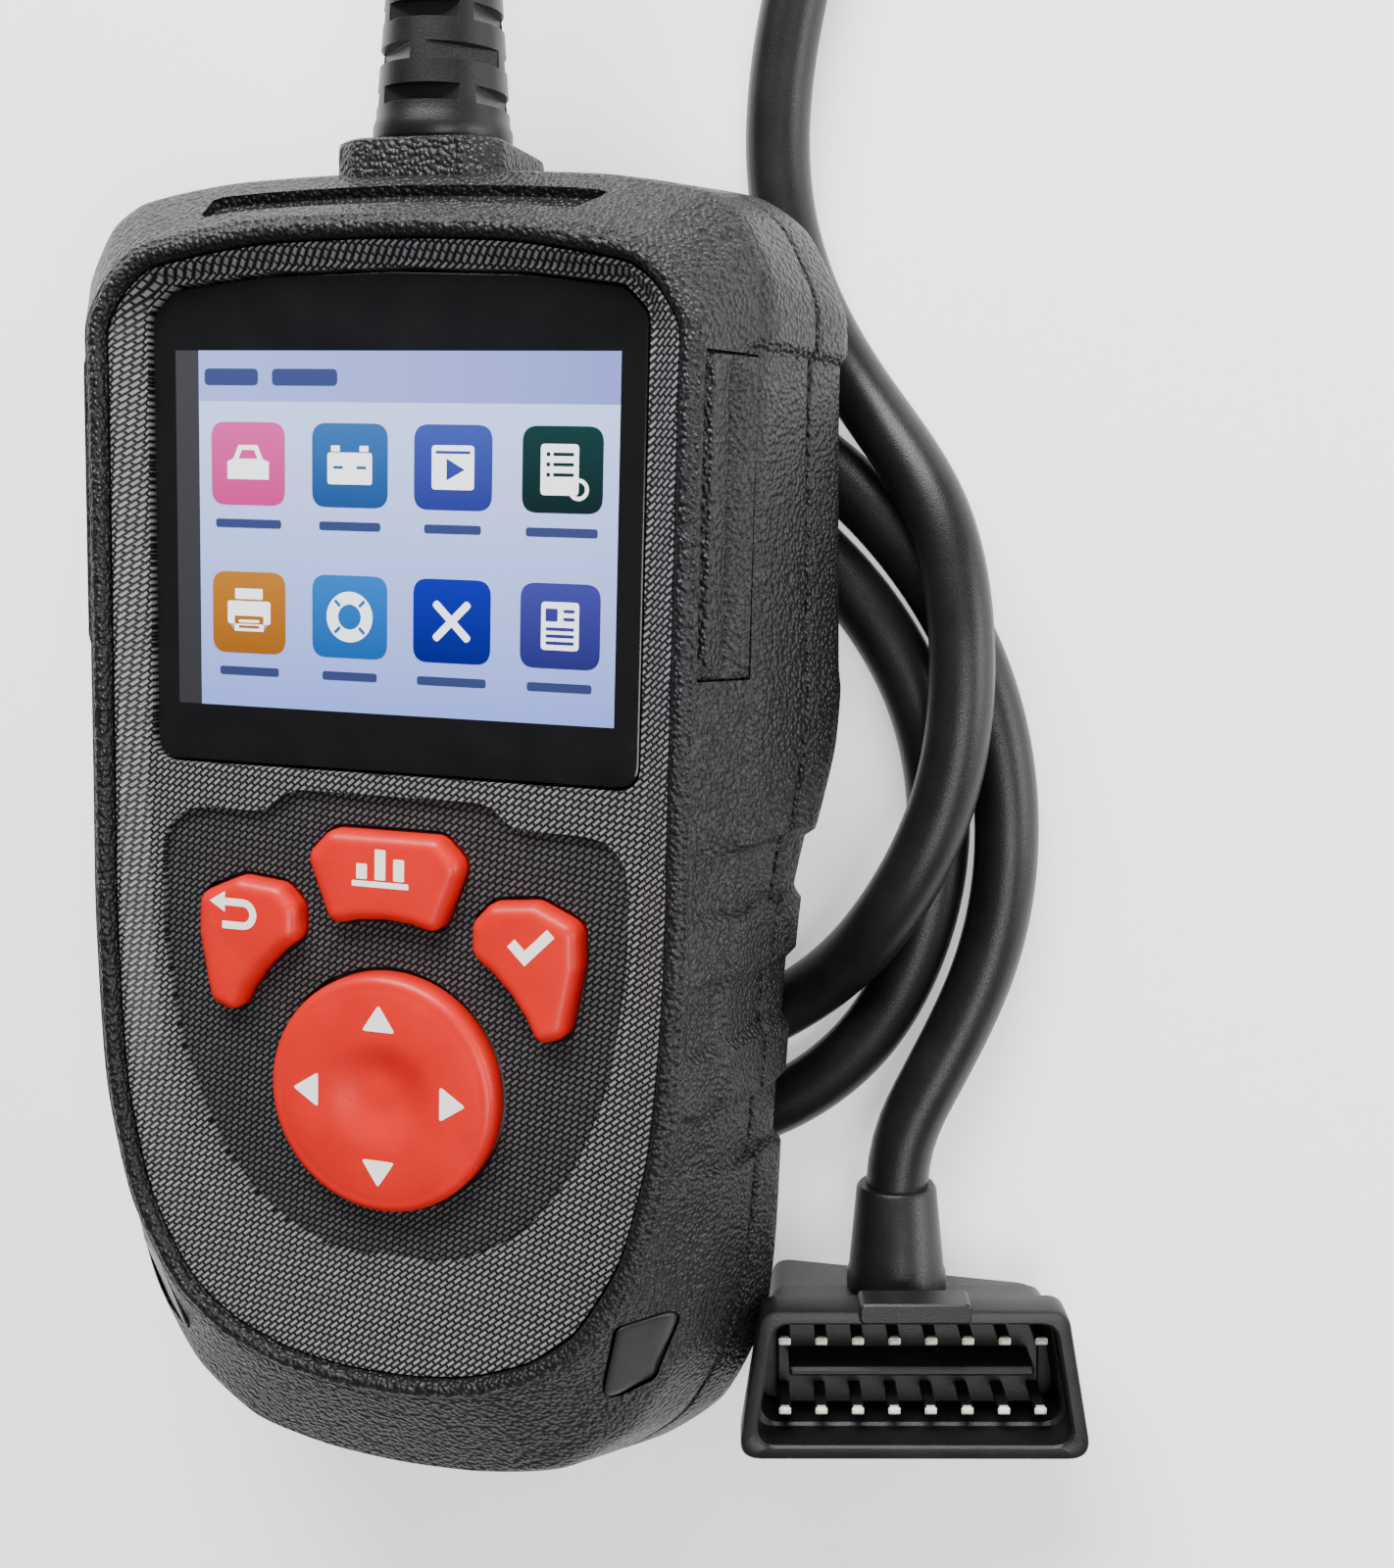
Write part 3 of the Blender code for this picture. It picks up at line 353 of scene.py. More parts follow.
def bake_modifiers(item):
    """The item's modifiers become its mesh, so that the cutters can go."""
    graph = bpy.context.evaluated_depsgraph_get()
    mesh = bpy.data.meshes.new_from_object(item.evaluated_get(graph))
    tools = [change.object for change in item.modifiers if change.type == "BOOLEAN"]
    item.modifiers.clear()
    item.data = mesh
    mesh.set_sharp_from_angle(angle=math.radians(35.0))
    for tool in tools:
        bpy.data.objects.remove(tool, do_unlink=True)


def soften(item, width, segments=2, angle=40.0):
    """A small round on every sharp edge, as a moulding has."""
    bevel = item.modifiers.new("edge_round", "BEVEL")
    bevel.width = width * MM
    bevel.segments = segments
    bevel.limit_method = "ANGLE"
    bevel.angle_limit = math.radians(angle)
    bevel.use_clamp_overlap = True
    bevel.harden_normals = False


def turned_mesh(name, profile, sides=96):
    """A turned surface about Z from (radius, height) points that start and end on the axis."""
    shape = bmesh.new()
    rows = []
    for radius, height in profile:
        if radius == 0:
            rows.append([shape.verts.new((0, 0, height * MM))])
            continue
        rows.append([shape.verts.new(Vector((x, y, height)) * MM) for x, y in circle(radius, sides=sides)])
    for lower, upper in zip(rows, rows[1:]):
        for index in range(sides):
            following = (index + 1) % sides
            corners = [lower[index % len(lower)], lower[following % len(lower)],
                       upper[following % len(upper)], upper[index % len(upper)]]
            shape.faces.new(list(dict.fromkeys(corners)))
    return mesh_from(name, shape)


def flat_mesh(name, outlines, z, thickness):
    """A thin plate of one or more outlines; an outline inside another is a hole in it."""
    curve = bpy.data.curves.new(name, "CURVE")
    curve.dimensions = "2D"
    curve.fill_mode = "BOTH"
    curve.extrude = thickness * MM / 2
    for outline in outlines:
        outline = clean(outline)
        spline = curve.splines.new("POLY")
        spline.points.add(len(outline) - 1)
        spline.use_cyclic_u = True
        for target, (x, y) in zip(spline.points, outline):
            target.co = (x * MM, y * MM, 0.0, 1.0)
    item = bpy.data.objects.new(name, curve)
    bpy.context.scene.collection.objects.link(item)
    graph = bpy.context.evaluated_depsgraph_get()
    mesh = bpy.data.meshes.new_from_object(item.evaluated_get(graph))
    bpy.data.objects.remove(item, do_unlink=True)
    mesh.transform(Matrix.Translation((0, 0, z * MM)))
    mesh.materials.clear()
    return mesh


# ---------------------------------------------------------------- materials

SHINE = 0.28                     # dull plastics: a weaker mirror than clear ones
COAT_ROUGHNESS = 0.06


def set_inputs(node, values):
    for name, value in values.items():
        node.inputs[name].default_value = value


def new_material(name, colour, roughness, metallic=0.0, coat=0.0):
    material = bpy.data.materials.new(name)
    material.use_nodes = True
    shader = material.node_tree.nodes["Principled BSDF"]
    set_inputs(shader, {"Base Color": (*colour, 1.0), "Roughness": roughness, "Metallic": metallic,
                        "Coat Weight": coat, "Coat Roughness": COAT_ROUGHNESS, "Specular IOR Level": SHINE})
    return material, material.node_tree.nodes, material.node_tree.links, shader


def object_space(nodes, links, scale=1000.0, turn=0.0):
    """Object coordinates in millimetres, turned about Z."""
    coordinates = nodes.new("ShaderNodeTexCoord")
    mapping = nodes.new("ShaderNodeMapping")
    set_inputs(mapping, {"Scale": (scale, scale, scale), "Rotation": (0.0, 0.0, turn)})
    links.new(coordinates.outputs["Object"], mapping.inputs["Vector"])
    return mapping.outputs["Vector"]


def noise(nodes, links, vector, scale, detail=3.0):
    texture = nodes.new("ShaderNodeTexNoise")
    set_inputs(texture, {"Scale": scale, "Detail": detail})
    links.new(vector, texture.inputs["Vector"])
    return texture.outputs["Fac"]


def ramp(nodes, links, value, stops):
    """A value turned into a colour, or a grey, by (position, colour) stops."""
    node = nodes.new("ShaderNodeValToRGB")
    links.new(value, node.inputs["Fac"])
    while len(node.color_ramp.elements) < len(stops):
        node.color_ramp.elements.new(0.5)
    for element, (position, colour) in zip(node.color_ramp.elements, stops):
        element.position = position
        shade = colour if isinstance(colour, tuple) else (colour, colour, colour)
        element.color = (*shade, 1.0)
    return node.outputs["Color"]


def one_minus(nodes, links, value):
    node = nodes.new("ShaderNodeMath")
    node.operation = "SUBTRACT"
    node.inputs[0].default_value = 1.0
    links.new(value, node.inputs[1])
    return node.outputs[0]


def bump(nodes, links, shader, height, distance, strength=1.0):
    node = nodes.new("ShaderNodeBump")
    set_inputs(node, {"Strength": strength, "Distance": distance * MM})
    links.new(height, node.inputs["Height"])
    links.new(node.outputs["Normal"], shader.inputs["Normal"])


def grained_plastic(name, dark, light, roughness, cell=0.42, depth=0.10):
    """Moulded plastic with a pebbled grain: small rounded cells with painted highlight on their raised tops
    and painted shade in the low edges between them.
    """
    material, nodes, links, shader = new_material(name, dark, roughness)
    vector = object_space(nodes, links)
    cells = nodes.new("ShaderNodeTexVoronoi")
    cells.feature = "SMOOTH_F1"
    set_inputs(cells, {"Scale": 1.0 / cell, "Smoothness": 0.5})
    links.new(vector, cells.inputs["Vector"])
    patches = noise(nodes, links, vector, 0.10)
    relief_shade_and_patches = nodes.new("ShaderNodeMath")
    relief_shade_and_patches.operation = "MULTIPLY_ADD"
    relief_shade_and_patches.inputs[1].default_value = 0.35
    links.new(patches, relief_shade_and_patches.inputs[0])
    links.new(cells.outputs["Distance"], relief_shade_and_patches.inputs[2])
    # Painted highlight and shade: the colour follows the grain's relief, lighter on the raised cell centres
    # and darker in the low edges between cells. The large noise patches add random tone.
    colour = ramp(nodes, links, relief_shade_and_patches.outputs[0], [(0.15, light), (0.75, dark)])
    links.new(colour, shader.inputs["Base Color"])
    dulling = [(0.1, roughness - 0.08), (0.8, roughness + 0.15)]
    links.new(ramp(nodes, links, cells.outputs["Distance"], dulling), shader.inputs["Roughness"])
    bump(nodes, links, shader, one_minus(nodes, links, cells.outputs["Distance"]), depth)
    return material


WEAVE_TURN = math.radians(-40.0)
WEAVE_DEPTH = 0.25


def woven_plate(name, dark, light, pitch=1.1):
    """A moulded weave: rows of short slanted dashes, each raised a little."""
    material, nodes, links, shader = new_material(name, dark, 0.38)
    vector = object_space(nodes, links, turn=WEAVE_TURN)
    bricks = nodes.new("ShaderNodeTexBrick")
    bricks.offset = 0.5
    set_inputs(bricks, {"Scale": 1.0, "Brick Width": pitch, "Row Height": pitch * 0.5,
                        "Mortar Size": pitch * 0.16, "Mortar Smooth": 0.7, "Color1": (*light, 1.0),
                        "Color2": (*(0.7 * part for part in light), 1.0), "Mortar": (*dark, 1.0)})
    links.new(vector, bricks.inputs["Vector"])
    links.new(bricks.outputs["Color"], shader.inputs["Base Color"])
    bump(nodes, links, shader, one_minus(nodes, links, bricks.outputs["Fac"]), WEAVE_DEPTH)
    return material


def satin_plastic(name, low, high, roughness, coat=0.0, depth=0.02):
    """Smooth moulded plastic with a faint waviness and cloudy colour."""
    material, nodes, links, shader = new_material(name, low, roughness, coat=coat)
    vector = object_space(nodes, links)
    clouds = noise(nodes, links, vector, 0.18)
    links.new(ramp(nodes, links, clouds, [(0.3, low), (0.7, high)]), shader.inputs["Base Color"])
    fine = noise(nodes, links, vector, 6.0, 4.0)
    links.new(ramp(nodes, links, fine, [(0.3, roughness - 0.05), (0.7, roughness + 0.07)]),
              shader.inputs["Roughness"])
    bump(nodes, links, shader, fine, depth)
    return material


PICTURE_COAT = 0.4


def lit_picture(name, low, high, glow, direction="Y", span=(0.0, 1.0)):
    """A lit patch of the picture whose colour runs from low to high along X or Y, in millimetres."""
    material, nodes, links, shader = new_material(name, low, 0.25, coat=PICTURE_COAT)
    vector = object_space(nodes, links)
    parts = nodes.new("ShaderNodeSeparateXYZ")
    links.new(vector, parts.inputs[0])
    along = nodes.new("ShaderNodeMapRange")
    set_inputs(along, {"From Min": span[0], "From Max": span[1]})
    links.new(parts.outputs[direction], along.inputs["Value"])
    grid = noise(nodes, links, vector, 2.5)
    mixed = nodes.new("ShaderNodeMath")
    mixed.operation = "MULTIPLY_ADD"
    mixed.inputs[1].default_value = 0.04
    links.new(grid, mixed.inputs[0])
    links.new(along.outputs["Result"], mixed.inputs[2])
    colour = ramp(nodes, links, mixed.outputs[0], [(0.0, low), (1.0, high)])
    links.new(colour, shader.inputs["Base Color"])
    links.new(colour, shader.inputs["Emission Color"])
    shader.inputs["Emission Strength"].default_value = glow
    return material


SHELL = grained_plastic("grained_shell", (0.004, 0.004, 0.005), (0.020, 0.020, 0.021), 0.36, 0.50, 0.32)
PLATE = woven_plate("woven_plate", (0.005, 0.005, 0.006), (0.200, 0.200, 0.205))
FIELD = woven_plate("woven_field", (0.003, 0.003, 0.004), (0.075, 0.075, 0.078))
LENS = satin_plastic("polished_lens", (0.004, 0.004, 0.005), (0.006, 0.006, 0.007), 0.12, depth=0.002)
KEY_RED = satin_plastic("satin_red", (0.50, 0.006, 0.004), (0.57, 0.009, 0.006), 0.36)
MARK_WHITE = satin_plastic("printed_white", (0.80, 0.78, 0.76), (0.88, 0.86, 0.84), 0.45)
JACKET = satin_plastic("cable_jacket", (0.004, 0.004, 0.005), (0.008, 0.008, 0.009), 0.36, depth=0.03)
MOULDED = satin_plastic("plug_moulding", (0.004, 0.004, 0.005), (0.009, 0.009, 0.010), 0.38, depth=0.03)
CONTACT = satin_plastic("plated_contact", (0.55, 0.50, 0.40), (0.75, 0.70, 0.60), 0.25)
EDGE = satin_plastic("smooth_edge", (0.014, 0.014, 0.015), (0.022, 0.022, 0.023), 0.35, depth=0.02)


# ---------------------------------------------------------------- case

# Sunk bands across the waist: top and bottom y
SIDE_BANDS = [(3.6, -2.8), (-10.2, -16.8), (-24.0, -30.6)]
BAND_DEPTH = 1.0
BAND_EDGE = 0.45


# The front's side wall: level and inset, from the parting line up
FRONT_SIDE = [(PARTING_Z + 0.1, 0.4), (PARTING_Z + 0.25, 0.1), (PARTING_Z + 0.6, 0.0), (0.0, 0.0), (2.0, 0.0),
              (4.0, 0.0), (5.0, 0.02), (5.6, 0.12), (6.1, 0.32), (6.5, 0.6)]
BEVEL_STEPS = 10
BEVEL_START_Z = EDGE_Z + 0.3
BEVEL_EDGE_INSET = 0.75
BEVEL_FOOT_OFFSET = -2.1
# The crest's round top and its inner face: offset from its mouth, and level
CREST_ROUND = [(-1.85, 13.4), (-1.5, 13.75), (-1.15, 13.95), (-0.8, CREST_Z), (-0.5, 13.93), (-0.2, 13.7),
               (0.0, 13.3), (0.05, 12.4), (0.0, CEILING_Z + 0.3)]
# The rear: level and inset, from the hollow's floor round the parting line to the back
REAR_SIDE = [(BACK_Z + WALL, 5.6), (WIDEST_Z - 1.5, WALL + 0.4), (PARTING_Z - 0.4, WALL),
             (PARTING_Z - 0.35, 0.35), (PARTING_Z - 0.45, 0.08), (PARTING_Z - 0.8, 0.0), (-4.6, 0.0),
             (-6.6, 0.02), (-7.8, 0.08), (-9.0, 0.35), (-10.4, 0.95), (-11.8, 1.9), (-13.0, 2.9),
             (-13.7, 3.5), (BACK_Z, 4.2)]
LABEL_POCKET = rounded(rectangle(25.6, 28.6, (0.0, 10.5)), 2.3)
LABEL_POCKET_DEPTH = 0.9
SCREW_HOLE_RADIUS = 2.9
SCREW_HOLE_DEPTH = 1.2


def wall(z, distance=0.0):
    """The side wall at a level: it widens from the bevel's edge down to the widest level."""
    share = min(max((EDGE_Z - z) / (EDGE_Z - WIDEST_Z), 0.0), 1.0)
    half = [tuple(Vector(edge).lerp(Vector(wide), share)) for edge, wide in zip(EDGE_HALF, CASE_HALF)]
    return flowing(offset(mirrored(half), distance))


def crest(distance):
    return flowing(offset(mirrored(CREST_HALF), distance))


def dish():
    return flowing(mirrored(DISH_HALF))


def eased(value, low, high):
    t = np.clip((value - low) / (high - low), 0.0, 1.0)
    return t * t * (3 - 2 * t)


def sunk(points, z):
    """The ring with the waist bands pressed in on both sides, fading out towards the crest."""
    points = np.array(points)
    weight = 1.0 - eased(np.array(z), 11.0, 12.8)
    depth = np.zeros(len(points))
    for top, bottom in SIDE_BANDS:
        inside = eased(points[:, 1], bottom - BAND_EDGE, bottom)
        inside *= 1 - eased(points[:, 1], top, top + BAND_EDGE)
        depth = np.maximum(depth, inside)
    depth *= BAND_DEPTH * weight * eased(np.abs(points[:, 0]), 26.0, 30.0)
    moved = points.copy()
    moved[:, 0] -= np.sign(points[:, 0]) * depth
    return moved


def wall_ring(z, distance=0.0):
    return level(sunk(wall(z, distance), z), z)


def crest_ring(distance, z):
    return level(crest(distance), z)


def bevel_ring(share, z):
    """A ring on the broad bevel, between the side wall's top edge and the foot of the crest."""
    return level(sunk(wall(EDGE_Z, BEVEL_EDGE_INSET) * (1 - share) + crest(BEVEL_FOOT_OFFSET) * share, z), z)


def make_front():
    loops = [wall_ring(z, distance) for z, distance in FRONT_SIDE]
    for step in range(BEVEL_STEPS + 1):
        share = step / BEVEL_STEPS
        loops.append(bevel_ring(share, BEVEL_START_Z + (CREST_FOOT_Z - BEVEL_START_Z) * share))
    loops += [crest_ring(distance, z) for distance, z in CREST_ROUND]
    loops += [level(wall(CEILING_Z, WALL + 0.6), CEILING_Z), level(wall(PARTING_Z, WALL), PARTING_Z + 0.1)]
    front = show("front_case", skin_mesh("front_case", loops, closed=True), SHELL, replaces=["front_shell"])
    for side in (-1, 1):
        subtract(front, cutter("grip_pocket_%d" % side, grip_loops(side, GAP, pocket=True)))
        subtract(front, cutter("pad_pocket_%d" % side, pad_loops(side, GAP)))
    subtract(front, cutter("top_strip", top_strip_loops()))
    bake_modifiers(front)
    return front


STRIP_CORNERS = [(-21.0, -1.9), (19.5, -1.9), (22.5, 1.9), (-21.0, 1.9)]
STRIP_CENTRE = (67.1, 9.6)       # y and z on the bevel above the screen
STRIP_DEPTH = 0.5


def top_strip_loops():
    """A shallow pocket in the bevel above the screen; its right end is slanted."""
    slope = math.atan2(CREST_FOOT_Z - EDGE_Z, 69.9 - 65.3)
    cos, sin = math.cos(slope), math.sin(slope)
    y, z = STRIP_CENTRE
    loops = []
    for height in (-STRIP_DEPTH, 3.0):
        loops.append([(x, y + across * cos + height * sin - 0.0016 * x * x, z - across * sin + height * cos)
                      for x, across in evenly(rounded(STRIP_CORNERS, 0.5, 4), 1.0)])
    return loops


def make_rear():
    loops = [wall_ring(z, distance) for z, distance in REAR_SIDE]
    rear = show("rear_case", skin_mesh("rear_case", loops), SHELL, replaces=["rear_shell"])
    below = BACK_Z - 1
    pocket = [level(LABEL_POCKET, below), level(LABEL_POCKET, BACK_Z + LABEL_POCKET_DEPTH)]
    subtract(rear, cutter("label_pocket", pocket))
    for index, (x, y) in enumerate(SCREW_PLACES):
        hole = circle(SCREW_HOLE_RADIUS, (x, y), 40)
        drill = [level(hole, below), level(hole, BACK_Z + SCREW_HOLE_DEPTH)]
        subtract(rear, cutter("screw_hole_%d" % index, drill))
    bake_modifiers(rear)
    return rear


SCREW_PLACES = [(-32.8, 59.5), (32.8, 59.5), (-31.0, -34.0), (31.0, -34.0)]
GRIP_LENGTH = 31.0
GRIP_CENTRE = (35.4, 36.6, 9.5)
GRIP_WIDTH = 6.8
GRIP_SLOPE = math.radians(57.0)
GRIP_DEPTH = 1.2
GRIP_RISE = 0.8


def grip_loops(side, growth, pocket=False):
    """Sections along the grip strip: two rounded ribs that sink away at both ends."""
    half = GRIP_WIDTH / 2 + growth
    cos, sin = math.cos(GRIP_SLOPE), math.sin(GRIP_SLOPE)
    count = 3 if pocket else 45
    loops = []
    for step in range(count):
        along = 2 * step / (count - 1) - 1
        y = GRIP_CENTRE[1] + along * (GRIP_LENGTH / 2 + growth)
        rise = 1.0 if pocket else float(1 - eased(abs(along), 0.93, 1.0))
        section = [(-half, -GRIP_DEPTH - growth)]
        if pocket:
            section += [(-half, 3.0), (half, 3.0)]
        else:
            for part in range(49):
                across = part / 48
                ridge = abs(math.cos(math.pi * across)) ** 0.8 * eased(min(across, 1 - across), 0.0, 0.10)
                section.append((-half + 2 * half * across, (-0.2 + GRIP_RISE * float(ridge)) * rise))
        section.append((half, -GRIP_DEPTH - growth))
        loops.append([(side * (GRIP_CENTRE[0] + across * cos + height * sin), y,
                       GRIP_CENTRE[2] - across * sin + height * cos) for across, height in section])
    return loops


def make_grips():
    for side, name in ((-1, "left"), (1, "right")):
        mesh = skin_mesh("grip_" + name, grip_loops(side, 0.0), angle=60.0)
        show("grip_" + name, mesh, SHELL, replaces=["side_grip_" + name])


PAD_CORNERS = [(26.8, -46.2), (32.2, -45.2), (29.2, -53.6), (24.4, -56.0)]
PAD_THICKNESS = 1.8
BEVEL_EDGE = wall(EDGE_Z, BEVEL_EDGE_INSET)
BEVEL_FOOT = crest(BEVEL_FOOT_OFFSET)


def bevel_height(x, y):
    """Height of the broad bevel at a point, from how near it is to the bevel's two edges."""
    to_edge = np.min(np.hypot(*(BEVEL_EDGE - (x, y)).T))
    to_foot = np.min(np.hypot(*(BEVEL_FOOT - (x, y)).T))
    return EDGE_Z + (CREST_FOOT_Z - EDGE_Z) * to_edge / (to_edge + to_foot)


def pad_loops(side, growth):
    """The pad's sections, from its bottom to its rounded top; with growth, the pocket it lies in."""
    terms = np.array([(x, y, 1.0) for x, y in PAD_CORNERS])
    heights = np.array([bevel_height(x, y) for x, y in PAD_CORNERS])
    plane = np.linalg.lstsq(terms, heights, rcond=None)[0]
    outline = evenly(rounded(PAD_CORNERS, 1.2))
    steps = [(-growth, -PAD_THICKNESS - growth), (-growth, 4.0)] if growth else [
        (0.0, -PAD_THICKNESS), (0.0, 0.1), (0.1, 0.25), (0.35, 0.35), (0.7, 0.38)]
    return [[(side * x, y, float(plane @ (x, y, 1.0)) + lift) for x, y in inset(outline, distance)]
            for distance, lift in steps]


def make_pads():
    """Soft pads let into the bevel; their tops follow its slope."""
    for side, name in ((-1, "left"), (1, "right")):
        show("pad_" + name, skin_mesh("pad_" + name, pad_loops(side, 0.0), angle=60.0), EDGE,
             replaces=["corner_pad_" + name])


COLLAR_OUTLINE = [(-9.2, -6.4), (-6.2, -8.4), (6.2, -8.4), (9.2, -6.4), (9.2, 6.4), (6.2, 8.4),
                  (-6.2, 8.4), (-9.2, 6.4)]


COLLAR_BORE_RADIUS = 5.4
COLLAR_ROOT = 2.6                # how far the collar reaches into the case


def make_collar():
    outer = rounded(COLLAR_OUTLINE, 2.5)
    bore = [tuple(Vector(point).normalized() * COLLAR_BORE_RADIUS) for point in outer]
    low, high = COLLAR_Y
    root = low - COLLAR_ROOT
    rings = [(outer, root), (outer, high - 0.8), (scaled(outer, 0.985), high - 0.3),
             (scaled(outer, 0.94), high), (bore, high), (bore, root)]
    loops = [[(x, y, PARTING_Z + z) for x, z in points] for points, y in rings]
    show("collar", skin_mesh("collar", loops, closed=True), SHELL, replaces=["cable_collar"])


# ---------------------------------------------------------------- face

PLATE_BOTTOM_Z = 7.7
SLOPE_TOP_Z = 12.7
SLOPE_STEPS = 6
LENS_BOTTOM_Z = 8.6
THROUGH = (5.0, 16.0)            # levels that a cut right through the face plate spans


def cut_through(item, name, outline):
    subtract(item, cutter(name, [level(outline, z) for z in THROUGH]))


def make_face():
    rings = [level(crest(GAP), PLATE_BOTTOM_Z), level(crest(GAP), SLOPE_TOP_Z),
             level(crest(0.5), SLOPE_TOP_Z + 0.05)]
    for step in range(SLOPE_STEPS + 1):
        share = step / SLOPE_STEPS
        slope = crest(0.8) * (1 - share) + dish() * share
        rings.append(level(slope, SLOPE_TOP_Z - (SLOPE_TOP_Z - PLATE_FLAT_Z) * share))
    plate = show("face_panel", skin_mesh("face_panel", rings), PLATE, replaces=["face_plate"])
    lens = clean(inset(evenly(rounded(mirrored(LENS_HALF), 2.5)), -GAP))
    cut_through(plate, "window_cut", lens)
    field = rounded(KEY_FIELD, FIELD_CORNER)
    subtract(plate, cutter("field_cut", [level(field, KEY_FIELD_Z), level(field, THROUGH[1])]))
    for name in KEY_OUTLINES:
        hole = clean(inset(evenly(key_outline(name)), -KEY_GAP))
        cut_through(plate, name + "_hole", hole)
    hole = circle(NAV_RADIUS + KEY_GAP, (0, NAV_CENTRE_Y), 120)
    cut_through(plate, "disc_hole", hole)
    bake_modifiers(plate)
    plate.data.materials.append(FIELD)
    for face in plate.data.polygons:
        if face.normal.z > 0.9 and face.center.z < (KEY_FIELD_Z + 0.2) * MM:
            face.material_index = 1
    soften(plate, 0.18)
    return plate


def make_lens():
    outline = evenly(rounded(mirrored(LENS_HALF), 2.5))
    loops = [level(outline, LENS_BOTTOM_Z), level(outline, LENS_TOP_Z - 0.35),
             level(inset(outline, 0.1), LENS_TOP_Z - 0.1), level(inset(outline, 0.35), LENS_TOP_Z)]
    show("window", skin_mesh("window", loops), LENS, replaces=["screen_window", "display_panel"])


# ---------------------------------------------------------------- picture on the screen

LAYER = 0.012                    # step between the picture's layers
TILE_SIZE = 8.5
DARK_STRIP = 2.7                 # the unlit strip at the left of the display
TILE_COLUMNS = [-16.1, -4.5, 6.9, 18.6]
TILE_ROWS = [6.9, -8.5]
TILE_COLOURS = [
    ((0.42, 0.02, 0.16), (0.50, 0.05, 0.24)), ((0.008, 0.045, 0.17), (0.02, 0.09, 0.28)),
    ((0.015, 0.02, 0.17), (0.03, 0.05, 0.26)), ((0.001, 0.010, 0.012), (0.003, 0.025, 0.025)),
    ((0.22, 0.07, 0.004), (0.32, 0.12, 0.01)), ((0.004, 0.06, 0.25), (0.004, 0.11, 0.38)),
    ((0.001, 0.003, 0.12), (0.002, 0.008, 0.24)), ((0.012, 0.012, 0.11), (0.03, 0.03, 0.20)),
]


def bar(width, height, x=0.0, y=0.0, turn=0.0, corner=0.12):
    """A small rounded bar, turned about its own centre."""
    cos, sin = math.cos(math.radians(turn)), math.sin(math.radians(turn))
    points = rounded(rectangle(width, height), corner, 4)
    return [(x + px * cos - py * sin, y + px * sin + py * cos) for px, py in points]


def symbols():
    """Eight plain symbols about their tile's centre. Each is a list of layers, each layer a list of
    outlines, and an outline inside another is a hole in it."""
    car = [both_sides([(2.4, -1.6), (2.4, 0.2), (1.7, 0.5), (1.1, 1.9)]),
           both_sides([(1.1, 0.5), (0.7, 1.4)])]
    battery = [rounded(rectangle(5.0, 3.2, (0, -0.3)), 0.3, 4)]
    battery += [bar(1.0, 0.6, x, 1.7) for x in (-1.6, 1.6)] + [bar(1.1, 0.3, x, -0.2) for x in (1.3, -1.3)]
    player = [rounded(rectangle(4.6, 4.4), 0.4, 4), [(-0.7, -1.3), (1.3, -0.2), (-0.7, 0.9)],
              bar(3.8, 0.3, 0, 1.5)]
    rows = (1.5, 0.5, -0.5)
    checklist = [rounded(rectangle(4.0, 5.0, (-0.3, 0)), 0.4, 4)]
    checklist += [bar(2.2, 0.35, 0.1, y) for y in rows] + [bar(0.4, 0.4, -1.5, y) for y in rows]
    magnifier = [circle(1.1, (1.7, -1.9), 24), circle(0.7, (1.7, -1.9), 24)]
    printer = [rounded(rectangle(5.0, 2.4), 0.3, 4), bar(3.2, 1.1, 0, 1.95),
               bar(3.4, 1.6, 0, -1.15, corner=0.1), bar(2.4, 0.3, 0, -0.9), bar(2.4, 0.3, 0, -1.5)]
    buoy = [circle(2.6, sides=40), circle(1.3, sides=30)]
    for step in range(4):
        angle = math.radians(45 + 90 * step)
        buoy.append(bar(0.9, 0.35, 1.95 * math.cos(angle), 1.95 * math.sin(angle), math.degrees(angle)))
    cross = [[bar(5.4, 0.8, 0, 0, turn, 0.35)] for turn in (45, -45)]
    page = [rounded(rectangle(4.0, 4.8), 0.4, 4), bar(1.3, 1.3, -0.9, 1.1), bar(1.2, 0.35, 0.95, 1.5),
            bar(1.2, 0.35, 0.95, 0.7)] + [bar(3.0, 0.35, 0, y) for y in (-0.3, -1.0, -1.7)]
    return [[car], [battery], [player], [checklist, magnifier], [printer], [buoy], cross, [page]]


HEADER_HEIGHT = 5.1
TITLE_BARS = [(6.2, -18.0), (7.4, -9.6)]     # width and place of each
TITLE_Y = 15.7
ANYWHERE = (10, 60)              # a span so long that its colour hardly changes across a symbol
PRINT = 0.01                     # thickness of a printed layer


def print_layer(name, outlines, number, paint):
    """One flat layer of the picture; higher numbers lie on lower ones."""
    show(name, flat_mesh(name, outlines, LENS_TOP_Z + (1 + number) * LAYER, PRINT), paint)


def make_tile(index, colours, symbol, ink, white):
    x = SCREEN_CENTRE[0] + TILE_COLUMNS[index % 4]
    y = SCREEN_CENTRE[1] + TILE_ROWS[index // 4]
    paint = lit_picture("tile_%d" % index, colours[0], colours[1], 0.08, span=(y - 4, y + 4))
    print_layer("tile_%d" % index, [rounded(rectangle(TILE_SIZE, TILE_SIZE, (x, y)), 1.6, 8)], 2, paint)
    for layer, outlines in enumerate(symbol):
        moved = [[(x + px, y + py) for px, py in outline] for outline in outlines]
        print_layer("symbol_%d_%d" % (index, layer), moved, 3 + layer, white)
    word = bar(7.6 - 0.7 * (index % 3), 0.9, x, y - TILE_SIZE / 2 - 1.9, corner=0.3)
    print_layer("word_%d" % index, [word], 2, ink)


